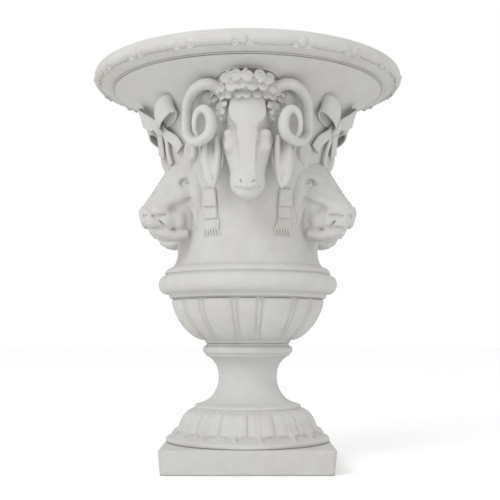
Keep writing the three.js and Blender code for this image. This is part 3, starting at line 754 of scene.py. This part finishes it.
# %% Clay
class Clay:
    """A block of clay. Places are (sideways, outward, up) in millimetres from an origin
    that is some way out from the urn's axis and some way up."""

    def __init__(self, low, high, step, out, up):
        self.step, self.out, self.up = step, out, up
        self.axes = [np.arange(a, b + step, step) for a, b in zip(low, high)]
        self.value = np.full([len(axis) for axis in self.axes], 40.0, np.float32)

    def window(self, low, high):
        """The part of the grid between two corners: its slices and its coordinates."""
        spans = [np.searchsorted(axis, (a, b)) for axis, a, b in zip(self.axes, low, high)]
        box = tuple(slice(a, b) for a, b in spans)
        near = [axis[span] for axis, span in zip(self.axes, box)]
        return box, np.meshgrid(*near, indexing="ij", sparse=True)

    def press(self, box, distance, soft, cut):
        """Joins a shape on, or cuts it out, with its crease rounded over about soft:
        min(a, b) less soft h (1 - h), where h is how evenly the two are matched."""
        sign = -1 if cut else 1
        old = sign * self.value[box]
        h = np.clip(0.5 + 0.5 * (distance - old) / soft, 0, 1)
        self.value[box] = sign * (distance + (old - distance) * h - soft * h * (1 - h))

    def lump(self, place, radii, soft=6.0, cut=False, lean=0.0, twin=False):
        """An ellipsoid, whose distance is about k (k - 1) / |p / r^2| with k = |p / r|.
        lean turns its top outwards by that many degrees, and twin adds its mirror image."""
        reach = max(radii) + 2 * soft
        c, s = math.cos(math.radians(lean)), math.sin(math.radians(lean))
        for side in (1, -1) if twin else (1,):
            middle = np.array(place, float) * (side, 1, 1)
            box, (x, a, z) = self.window(middle - reach, middle + reach)
            x, a, z = x - middle[0], a - middle[1], z - middle[2]
            a, z = c * a - s * z, s * a + c * z
            rx, ra, rz = radii
            k = np.sqrt((x / rx) ** 2 + (a / ra) ** 2 + (z / rz) ** 2)
            slope = np.sqrt((x / rx**2) ** 2 + (a / ra**2) ** 2 + (z / rz**2) ** 2) + 1e-6
            self.press(box, k * (k - 1) / slope, soft, cut)
        return self

    def roll(self, route, radii, soft=4.0, cut=False, twin=False):
        """A rod along a smooth route. Its radius passes evenly through the radii."""
        for side in (1, -1) if twin else (1,):
            points = bend(np.array(route, float) * (side, 1, 1))
            share = np.linspace(0, 1, len(points))
            thick = np.interp(share, np.linspace(0, 1, len(radii)), radii)
            margin = max(radii) + 2 * soft
            box, (x, a, z) = self.window(points.min(0) - margin, points.max(0) + margin)
            nearest = np.float32(99)
            for start, end, r0, r1 in zip(points, points[1:], thick, thick[1:]):
                u, v, w = end - start
                along = (x - start[0]) * u + (a - start[1]) * v + (z - start[2]) * w
                along = np.clip(along / (u * u + v * v + w * w), 0, 1)
                far = np.sqrt(
                    (x - start[0] - along * u) ** 2 + (a - start[1] - along * v) ** 2
                    + (z - start[2] - along * w) ** 2
                )
                nearest = np.minimum(nearest, far - r0 - along * (r1 - r0))
            self.press(box, nearest, soft, cut)
        return self

    def slab(self, breadth, front, low, high, soft, crown=0.006):
        """A ridge standing on the face between two heights. Its half width and its reach
        outwards are smooth tracks of (height, value) pairs. It is crowned: its reach falls
        by crown x^2 to either side."""
        box, (x, a, z) = self.window((-99, -99, low - soft), (99, 199, high + soft))
        heights = self.axes[2][box[2]]
        half = np.interp(heights, *zip(*breadth))[None, None, :]
        reach = np.interp(heights, *zip(*front))[None, None, :]
        ends = np.maximum(low - z, z - high)
        ridge = np.maximum(np.maximum(np.abs(x) - half, a - reach + crown * x * x), ends)
        self.press(box, ridge + 0 * a, soft, False)
        return self

    def seat(self, depth):
        """Trims off what lies deeper than that inside the bell's wall."""
        x, a, z = np.meshgrid(*self.axes, indexing="ij", sparse=True)
        wall = wall_radius(z + self.up) - depth
        self.value = np.maximum(self.value, wall - np.hypot(x, a + self.out))
        return self

    def skin(self):
        """The surface as a shell. Each cell that it crosses gets one corner, at the mean of
        the crossings on the cell's edges. Each edge that it crosses gets one face, which
        joins the four cells round that edge."""
        value = self.value
        size = np.array(value.shape)
        weight, total, quads = np.zeros(value.size), np.zeros((3, value.size)), []
        for k in range(3):
            first = np.take(value, np.arange(size[k] - 1), axis=k)
            second = np.take(value, np.arange(1, size[k]), axis=k)
            edge = np.argwhere((first < 0) != (second < 0))
            a, b = first[tuple(edge.T)], second[tuple(edge.T)]
            crossing = edge.astype(float)
            crossing[:, k] += a / (a - b)
            ring = []
            for i, j in ((0, 0), (1, 0), (1, 1), (0, 1)):
                cell = edge.copy()
                cell[:, (k + 1) % 3] -= i
                cell[:, (k + 2) % 3] -= j
                flat = np.ravel_multi_index(cell.T, size)
                ring.append(flat)
                weight += np.bincount(flat, minlength=value.size)
                for m in range(3):
                    total[m] += np.bincount(flat, crossing[:, m], value.size)
            ring = np.stack(ring, 1)
            quads.append(np.where((a < 0)[:, None], ring, ring[:, ::-1]))
        quads = np.concatenate(quads)
        used, faces = np.unique(quads, return_inverse=True)
        place = (total[:, used] / weight[used]).T
        reach = max(2, round(2.4 / self.step))
        around = sum(np.roll(value, move, k) for k in range(3) for move in (-reach, reach)) / 6
        cell = tuple(np.round(place).astype(int).T)
        hollow = np.clip((value - around)[cell] * 1.5, -2, 2)
        low = [axis[0] for axis in self.axes]
        x, a, z = (place * self.step + low).T
        return np.stack([x, -(a + self.out), z + self.up], 1), [faces.reshape(-1, 4)], hollow


def bend(points, steps=5):
    """A smooth (Catmull-Rom) route through the points, with some steps between each two."""
    if len(points) == 2:
        return points
    padded = np.vstack([2 * points[0] - points[1], points, 2 * points[-1] - points[-2]])
    t = np.arange(steps)[:, None] / steps
    spans = [
        0.5 * (2 * b + (c - a) * t + (2 * a - 5 * b + 4 * c - d) * t**2
               + (3 * b - a - 3 * c + d) * t**3)
        for a, b, c, d in zip(padded, padded[1:], padded[2:], padded[3:])
    ]
    return np.vstack(spans + [points[-1:]])


# %% [markdown]
# ## Ram's head
# Measured from the chin: the muzzle is round and deep, the cheeks are widest two fifths of
# the way up, and the nose is a flat ridge that widens like a fan into the forehead. The brow
# runs down slantwise to the inner corner of each eye.

# %% Ram's head
RAM_OUT = 160
ram_up = level("ram_front_head", 0)
RIDGE_BREADTH = [(20, 13), (60, 12.5), (100, 12.5), (112, 14.5), (124, 19), (138, 27), (152, 33),
                 (166, 34), (182, 30), (200, 24)]
RIDGE_REACH = [(20, 75), (45, 77), (80, 75), (110, 72.5), (140, 71), (165, 71), (200, 70)]


def ram_head():
    """The skull, cheeks and muzzle, the ridge down the face, then the eyes and mouth."""
    clay = Clay((-66, -36, -8), (66, 96, 232), 1.5, RAM_OUT, ram_up)
    clay.lump((0, 26, 158), (43, 36, 56)).lump((0, 34, 190), (40, 34, 26), 8)
    clay.roll([(0, 42, 112), (0, 40, 34)], [30, 31.5], 6)
    clay.lump((0, 47, 34), (31, 28, 32), 6)
    clay.roll([(20, 30, 112), (11, 33, 62)], [29, 22], 6, twin=True)
    clay.lump((0, 6, 100), (34, 44, 84), 10)
    clay.slab(RIDGE_BREADTH, RIDGE_REACH, 24, 200, 14)
    # eye hollow, closed lid, the fold under it and the cheekbone
    clay.lump((34, 66, 128), (13, 12, 13), 9, cut=True, twin=True)
    clay.lump((32, 53, 121), (12, 8, 9), 5, twin=True)
    clay.roll([(20, 62, 113), (29, 62, 114.5), (41, 49, 118)], [0.8, 1.3, 0.8], 2.5, True, True)
    clay.roll([(22, 63, 122), (31, 62, 129), (41, 50, 129)], [0.8, 1.2, 0.6], 2.5, True, True)
    clay.lump((31, 54, 99), (12, 9, 13), 9, twin=True)
    clay.roll([(20, 66, 106), (18.5, 68, 92), (18, 69, 70)], [1.6, 1.6, 0.8], 6, True, True)
    # nose pad, nostrils, mouth and chin
    clay.roll([(14.5, 66, 46), (14.5, 70, 34), (9.5, 74, 23), (0, 76, 20.5)],
              [1.2, 2.4, 2.6, 2.4], 4, twin=True)
    clay.roll([(6, 79.5, 26), (10.5, 78, 28), (13.5, 74, 33)], [1.2, 2.2, 1], 2, True, True)
    clay.roll([(0, 80, 28), (0, 78, 20)], [0.8, 1.2], 2.5, cut=True)
    clay.roll([(0, 79, 13), (10, 76, 14), (19, 67, 19), (25, 54, 27)],
              [0.7, 0.9, 0.8, 0.4], 3, True, True)
    clay.lump((0, 54, 10), (19, 17, 9), 6)
    return clay.seat(6).skin()


# %% [markdown]
# ## Fleece
# The poll carries a cap of tight curls that swells out under the flare. Each curl is a roll
# wound up in a flat spiral and raised at the middle. A fixed draw sets how each is turned.

# %% Fleece
def curl_route(middle, size, start, hand, outward):
    """A spiral of one and a half turns, r = size (1 - share), whose middle stands out."""
    share = np.linspace(0, 1, 14)
    turn = start + hand * share * 3 * np.pi
    r = size * (1 - 0.85 * share)
    lift = size * 0.35 * share
    facing, droop = np.array(outward), np.array([0, -0.25, 1.0])
    across = np.cross(facing, droop)
    return (np.array(middle) + np.outer(r * np.cos(turn), across)
            + np.outer(r * np.sin(turn), droop) + np.outer(lift, facing))


CURL_ROWS = [  # height, places as (sideways, outward), size
    (217, [(0, 98), (20, 95), (38, 82)], 10.5), (202, [(10, 89), (29, 84), (46, 69)], 9.5),
    (189, [(0, 76), (18, 75), (35, 67)], 7.5), (211, [(50, 66), (62, 52), (74, 46)], 7),
    (199, [(55, 56), (67, 44), (79, 34)], 6.5), (187, [(46, 60), (60, 44), (72, 32), (84, 24)], 6),
    (174, [(42, 57), (52, 46)], 6), (162, [(46, 52), (54, 42)], 5.5), (151, [(49, 46)], 5),
]


def ram_fleece():
    """A soft cap with curls all over it, and a thin collar against the flare."""
    clay = Clay((-98, -20, 138), (98, 128, 234), 1.0, RAM_OUT, ram_up)
    clay.lump((0, 68, 212), (42, 30, 15)).lump((0, 60, 196), (38, 17, 14), 8)
    clay.lump((36, 46, 200), (22, 26, 16), 8, twin=True)
    clay.lump((64, 20, 196), (28, 22, 18), 8, twin=True)
    clay.lump((44, 36, 172), (11, 18, 26), 8, twin=True)
    draw = np.random.default_rng(8)
    for height, places, size in CURL_ROWS:
        for sideways, outward in places:
            for side in (1, -1) if sideways else (1,):
                facing = np.array([side * sideways / 80, 0.95, -0.3])
                start, wobble = draw.uniform(0, 6.28), draw.uniform(-1.2, 1.2, 2)
                middle = (side * sideways + wobble[0], outward, height + wobble[1])
                route = curl_route(middle, size, start, side, facing)
                clay.roll(route, [size * 0.44, size * 0.4, size * 0.3], 2.6)
    turns = np.linspace(-1.25, 1.25, 9)
    collar = np.stack([64 * np.sin(turns), 46 + 42 * np.cos(turns)], 1)
    heights = flare_height(np.hypot(collar[:, 0], collar[:, 1] + RAM_OUT)) - ram_up
    clay.roll(np.column_stack([collar, heights]), [1.5, 3.4, 1.5], 2)
    return clay.skin()


# %% [markdown]
# ## Horns and ears
# A horn springs from the poll, arches under the flare, drops outside the cheek and curls
# back up into a ring beside the eye. Soft growth rings run round it. Below it hangs the ear,
# a long leaf folded along its middle.

# %% Horns
def swept(route, radius, sides):
    """A grid of rings square to a route. radius(share, turn) gives each ring's shape."""
    along = np.gradient(route, axis=0)
    along /= np.linalg.norm(along, axis=1, keepdims=True)
    across = np.cross(along, (0, 0.35, 1.0))
    across /= np.linalg.norm(across, axis=1, keepdims=True)
    for row in range(1, len(across)):
        carried = across[row - 1] - along[row] * (across[row - 1] @ along[row])
        across[row] = carried / np.linalg.norm(carried)
    upright = np.cross(along, across)
    share = np.linspace(0, 1, len(route))[:, None]
    turn = np.linspace(0, 2 * np.pi, sides, endpoint=False)[None, :]
    r = radius(share, turn)[..., None]
    ring = np.cos(turn)[..., None] * across[:, None] + np.sin(turn)[..., None] * upright[:, None]
    return route[:, None] + r * ring


HORN_ROUTE = [
    (36, 50, 196), (59, 62, 207), (79, 66, 209), (97, 53, 202), (110, 33, 184),
    (113.5, 18, 155), (112, 19, 128), (101, 32, 112), (85, 48, 110), (70, 60, 120),
    (66, 66, 138), (71, 69, 156), (82, 68, 163), (92.5, 64, 156), (97, 60, 141), (96, 56, 127),
    (90, 51, 116),
]


def ram_horn(side):
    """The horn on that side: a rod whose thickness swells and fades, with growth rings."""
    local = bend(np.array(HORN_ROUTE, float), 14)
    route = np.stack([side * local[:, 0], -(local[:, 1] + RAM_OUT), local[:, 2] + ram_up], 1)

    def radius(share, turn):
        body = np.interp(share, (0, 0.1, 0.35, 0.57, 0.72, 0.82, 0.92, 1),
                         (12, 11, 8.8, 11, 9.5, 6.6, 5.2, 3.4))
        rings = 0.3 * np.sin(share * 150 + 0.6 * np.sin(turn)) * (1 - share)
        keel = 0.7 * np.cos(2 * turn)
        return body + rings + keel

    return tube(swept(route, radius, 30))


def ram_ear(side):
    """A hanging leaf: two broad folds with a shallow valley between them, pointed below."""
    clay = Clay((28, -8, 14), (104, 66, 134), 1.2, RAM_OUT, ram_up)
    clay.lump((67, 25, 78), (18, 8, 50), 4, lean=-4)
    clay.roll([(57, 40, 118), (55, 37, 90), (57, 31, 60), (62, 27, 27)], [5, 6.5, 5.5, 1], 6)
    clay.roll([(77, 37, 116), (79, 32, 92), (75, 28, 62), (65, 26, 28)], [4, 5.5, 4.5, 1], 6)
    clay.roll([(67, 47, 112), (67, 42.5, 86), (66, 37, 58), (63, 31, 38)], [1, 1.7, 1.4, 0.4],
              3, cut=True)
    clay.roll([(46, 34, 100), (47, 30, 74), (54, 26, 44)], [1.5, 2.6, 1], 2)
    clay.roll([(86, 26, 104), (86, 22, 80), (78, 20, 48)], [1.5, 2.6, 1], 2)
    corners, faces, hollow = clay.skin()
    return corners * (side, 1, 1), faces, hollow


# %% [markdown]
# ## Setting the rams on the bell
# Each shape is worked out facing the front, then swung about the axis to where its own CAD
# node stands, so that front and back look as if they came from the same moulds.

# %% Rams onto the bell
HANDS = {"right": 1, "left": -1}
head, fleece = ram_head(), ram_fleece()
for name, degrees in (("front", 0), ("back", 180)):
    node = "ram_" + name + "_"
    piece(name + "_ram_face", [swung(head, degrees)], cast_stone, "cast_stone", node + "head")
    piece(name + "_ram_fleece", [swung(fleece, degrees)],
          cast_stone, "cast_stone", node + "fleece")
    for hand, side in HANDS.items():
        piece(name + "_ram_horn_" + hand, [swung(ram_horn(side), degrees)],
              cast_stone, "cast_stone", node + "horn_" + hand)
        piece(name + "_ram_ear_" + hand, [swung(ram_ear(side), degrees)],
              cast_stone, "cast_stone", node + "ear_" + hand)


# %% [markdown]
# ## Boar's head
# The boar hangs nose down and well out from the wall. Its brow slopes straight to a round
# snout disc, the lips hang in lobes over a full jaw, and a mane runs back over the cheek to
# the wall.

# %% Boar's head
BOAR_OUT = 150
boar_up = level("boar_1_head", 0)


def boar_head():
    """The skull and snout, the jaws and lips, then the eyes, folds and mane."""
    clay = Clay((-80, -44, -8), (80, 106, 190), 1.4, BOAR_OUT, boar_up)
    clay.roll([(0, -6, 130), (0, 4, 112)], [38, 37], 6)
    clay.lump((22, -4, 134), (27, 27, 30), 10, twin=True)
    clay.lump((48, -19, 112), (18, 25, 58), 14, twin=True)
    clay.roll([(0, 8, 116), (0, 40, 84), (0, 62, 66)], [36, 28, 21], 10)
    clay.lump((0, -10, 84), (38, 38, 76), 10)
    clay.lump((25, 10, 92), (17, 24, 32), 10, twin=True)
    # snout, its rim, the nostrils and their wings
    clay.lump((0, 72, 52), (22, 17, 18), 9, lean=38)
    clay.roll([(0, 86, 66), (13, 84, 61), (19, 77, 50), (12, 71, 39), (0, 68, 36)],
              [2, 3, 3.4, 3, 2.5], 6, twin=True)
    clay.lump((8, 88, 49), (3.2, 6, 4.4), 3, cut=True, lean=38, twin=True)
    clay.lump((24, 50, 60), (9, 19, 9), 10, twin=True)
    # upper lip in lobes, the mouth's slit, and a full lower jaw
    clay.lump((12, 63, 40), (13, 18, 14), 7, twin=True)
    clay.lump((22, 42, 43), (12, 17, 16), 7, twin=True)
    clay.lump((25, 20, 46), (12, 14, 18), 8, twin=True)
    clay.roll([(0, 0, 32), (0, 30, 20), (0, 48, 18)], [24, 15, 10], 8)
    clay.roll([(0, 62, 23), (10, 57, 22), (18, 42, 18), (22, 24, 16), (25, 6, 20)],
              [5.5, 7, 8.5, 9, 9], 7, twin=True)
    clay.roll([(0, 77, 31), (13, 70, 30), (25, 50, 29), (34, 28, 31)],
              [1.2, 2.2, 1.8, 0.8], 4, cut=True, twin=True)
    clay.roll([(14, 84, 52), (24, 68, 50), (30, 50, 54)], [0.8, 1.8, 0.8], 4, True, True)
    clay.roll([(21, 62, 44), (25, 53, 37), (24, 47, 31)], [0.8, 2, 0.8], 5, True, True)
    # soft eye, brow, and the folds of cheek and nose
    clay.roll([(44, -4, 135), (38, 12, 131), (26, 28, 126)], [6, 7, 4], 8, twin=True)
    clay.lump((42, 15, 117), (9, 8, 7), 6, cut=True, twin=True)
    clay.lump((38, 9, 115), (8, 8, 6.5), 3, twin=True)
    clay.roll([(46, 1, 114), (42.5, 13, 116), (34, 25, 114)], [0.6, 1.5, 0.6], 2, True, True)
    clay.roll([(40, 2, 101), (35, 24, 88), (26, 48, 77), (16, 68, 69)],
              [6, 7, 7, 4], 10, twin=True)
    clay.roll([(43, 4, 86), (38, 22, 74), (31, 40, 64)], [1.5, 2.4, 1], 7, True, True)
    for rise in (0, 9, 17):
        clay.roll([(-15, 38 - rise, 138 + rise), (0, 45 - rise, 132 + rise),
                   (15, 38 - rise, 138 + rise)], [0.8, 1.8, 0.8], 3, cut=True)
    for rise in (0, 8, 15):
        clay.roll([(-11, 73 - rise, 86 + rise), (0, 77 - rise, 82 + rise),
                   (11, 73 - rise, 86 + rise)], [0.6, 1.4, 0.6], 3, cut=True)
    # mane: broad locks combed down and back over the cheek
    for lock, low in enumerate((0, 14, 27, 39, 52)):
        back = 2.5 * lock
        clay.roll([(40, 3 - back, 102 - low), (43, -5 - back, 86 - low),
                   (40, -11 - back, 68 - low), (41, -18, 54 - low)],
                  [3, 6, 5, 1.2], 4, twin=True)
    return clay.seat(6).skin()


def boar_ear(side):
    """A short, round ear, cupped forwards, that lies near the wall beside the brow."""
    clay = Clay((22, -30, 130), (94, 48, 212), 1.1, BOAR_OUT, boar_up)
    clay.roll([(42, 0, 148), (52, 2, 164)], [11, 13], 6)
    clay.lump((57, 6, 178), (20, 15, 22), 7, lean=8)
    clay.lump((68, 20, 176), (8, 7, 15), 5, cut=True, lean=8)
    corners, faces, hollow = clay.seat(6).skin()
    return corners * (side, 1, 1), faces, hollow


# %% [markdown]
# ## Ribbon bows
# A bow is tied above each boar, hard up under the flare. A ribbon is a flat band with
# rounded edges. Each loop leaves the knot, folds over and comes back behind, and two tails
# and a narrow end hang down.

# %% Ribbon bows
def ribbon(route, breadth, lay, thick=3.6):
    """A band along a route of (sideways, off the wall, up), as a shell.

    breadth gives its width at evenly spaced shares, and lay the direction of that width.
    """
    points = bend(np.array(route, float), 8)
    radius = wall_radius(points[:, 2]) + points[:, 1]
    turn = points[:, 0] / radius
    centre = np.stack([radius * np.sin(turn), -radius * np.cos(turn), points[:, 2]], 1)
    share = np.linspace(0, 1, len(points))
    wide = np.interp(share, np.linspace(0, 1, len(breadth)), breadth) / 2
    along = np.gradient(centre, axis=0)
    along /= np.linalg.norm(along, axis=1, keepdims=True)
    side = np.array(lay, float) - along * (along @ np.array(lay, float))[:, None]
    side /= np.linalg.norm(side, axis=1, keepdims=True)
    face = np.cross(along, side)
    corner = np.linspace(0, 2 * np.pi, 28, endpoint=False)
    flat = np.sign(np.cos(corner)) * np.abs(np.cos(corner)) ** 0.45
    round_edge = np.sign(np.sin(corner)) * np.abs(np.sin(corner)) ** 0.9
    hem = 1 + 0.5 * np.exp(-(((np.abs(flat) - 0.86) / 0.1) ** 2))
    grid = (centre[:, None] + wide[:, None, None] * flat[:, None] * side[:, None]
            + thick / 2 * (hem * round_edge)[:, None] * face[:, None])
    return tube(grid)


def bow():
    """Two folded loops, a knot, two tails and the end that hangs to the boar's brow."""
    knot = level("bow_1", 0) + 0.52 * (level("bow_1", 1) - level("bow_1", 0))
    shells = []
    for side in (1, -1):
        shells.append(ribbon(
            [(0, 13, knot), (side * 18, 23, knot + 8), (side * 42, 27, knot + 20),
             (side * 60, 20, knot + 30), (side * 59, 7, knot + 29), (side * 32, 3, knot + 12),
             (0, 3, knot)],
            [14, 28, 35, 36, 34, 26, 12], (0, -0.35, 1), 4.6))
        shells.append(ribbon(
            [(side * 2, 9, knot), (side * 14, 10, knot - 16), (side * 32, 7, knot - 32),
             (side * 42, 8, knot - 50)],
            [13, 21, 26, 28], (1, 0, 0.5 * side), 4.4))
    shells.append(ribbon(
        [(0, 8, knot), (3, 7, knot - 26), (-2, 8, knot - 50), (1, 8, knot - 74)],
        [13, 12, 11, 11], (1, 0, 0), 4.4))
    shells.append(ribbon(
        [(-1, 3, knot + 13), (0, 15, knot + 12), (0, 20, knot), (0, 15, knot - 12),
         (1, 3, knot - 13)],
        [18, 20, 17, 20, 18], (1, 0, 0), 7))
    return shells


# %% [markdown]
# ## Locks of hair
# Beside each ram a lock of hair lies flat on the bell. It hangs in straight-ended tiers that
# overlap like tiles, over loose strands. Each tier and strand is a band on the wall's curve.

# %% Locks of hair
def hair_lock():
    """Two flat tiers, each lifted at its foot by the one below, and six wavy strands."""
    foot = level("lock_1", 0)
    shells = [
        ribbon([(0, 1.5, foot + 94), (0, 2.5, foot + 78), (0, 4.6, foot + 61)],
               [27, 29, 30], (1, 0, 0), 6),
        ribbon([(0, 0.2, foot + 70), (0, 1.4, foot + 52), (0, 3.2, foot + 38)],
               [27, 28, 28], (1, 0, 0), 6),
        ribbon([(0, -1, foot + 46), (0, -0.6, foot + 32), (0, -1, foot + 18)],
               [24, 23, 16], (1, 0, 0), 5),
    ]
    for strand in range(6):
        start = -12.5 + 5 * strand
        lean = 0.4 * start
        shells.append(ribbon(
            [(start * 0.9, 0.8, foot + 46), (start + 2, 1.2, foot + 32),
             (start - 2 + lean * 0.4, 0.9, foot + 18), (start + lean, -1, foot + 5)],
            [5.5, 6.5, 5.5, 2.5], (1, 0, 0), 4.2))
    return shells


lock = hair_lock()
for number, degrees in enumerate((28, -28, 208, 152), 1):
    piece("hair_lock_" + str(number), [swung(shell, degrees) for shell in lock],
          cast_stone, "cast_stone", "lock_" + str(number))


# %% [markdown]
# ## Setting the boars and bows on the bell
# The four boars hang sixty degrees either side of the front ram and of the back one, each
# under its own bow.

# %% Boars and bows onto the bell
face, ears, tied = boar_head(), {hand: boar_ear(side) for hand, side in HANDS.items()}, bow()
for number, degrees in enumerate((60, 120, 240, 300), 1):
    node = "boar_" + str(number) + "_"
    name = "boar_" + str(number)
    piece(name + "_face", [swung(face, degrees)], cast_stone, "cast_stone", node + "head")
    for hand in HANDS:
        piece(name + "_ear_leaf_" + hand, [swung(ears[hand], degrees)],
              cast_stone, "cast_stone", node + "ear_" + hand)
    piece("ribbon_bow_" + str(number), [swung(shell, degrees) for shell in tied],
          cast_stone, "cast_stone", "bow_" + str(number))


# %% [markdown]
# ## Mortar and hardware
# The mortar beds are pointed up nearly flush, so each shows as a thin line. The tie rod,
# its nuts, washers and bridge bars keep their CAD shape and get a zinc finish.

# %% Mortar beds and steel
BEDS = {"foot_bed": 163.0, "knop_lower_bed": 81.0, "knop_upper_bed": 82.5,
        "belt_bed": 155.5, "rim_bed": 277.4}
for bed, radius in BEDS.items():
    low, high = level(bed, 0) - 0.3, level(bed, 1) + 0.3
    inner = radius - 12
    ring = outline(
        curve((inner, low), (radius - 0.8, low)),
        curve((radius, low + 0.4), (radius, high - 0.4)),
        curve((radius - 0.8, high), (inner, high)),
        steps=(4, 3, 4), soften=0,
    )
    piece("pointed_" + bed,
          [tube(turned(ring, lambda t, r, z, i: waver(t, z, 0.3, 3), 240), True)],
            mortar, "mortar", bed)

for node_name, node_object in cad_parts.items():
    if node_name.startswith(("dowel", "upper", "lower", "tie_rod")):
        node_object.data.materials.clear()
        node_object.data.materials.append(zinc)
print("beds", len(BEDS))
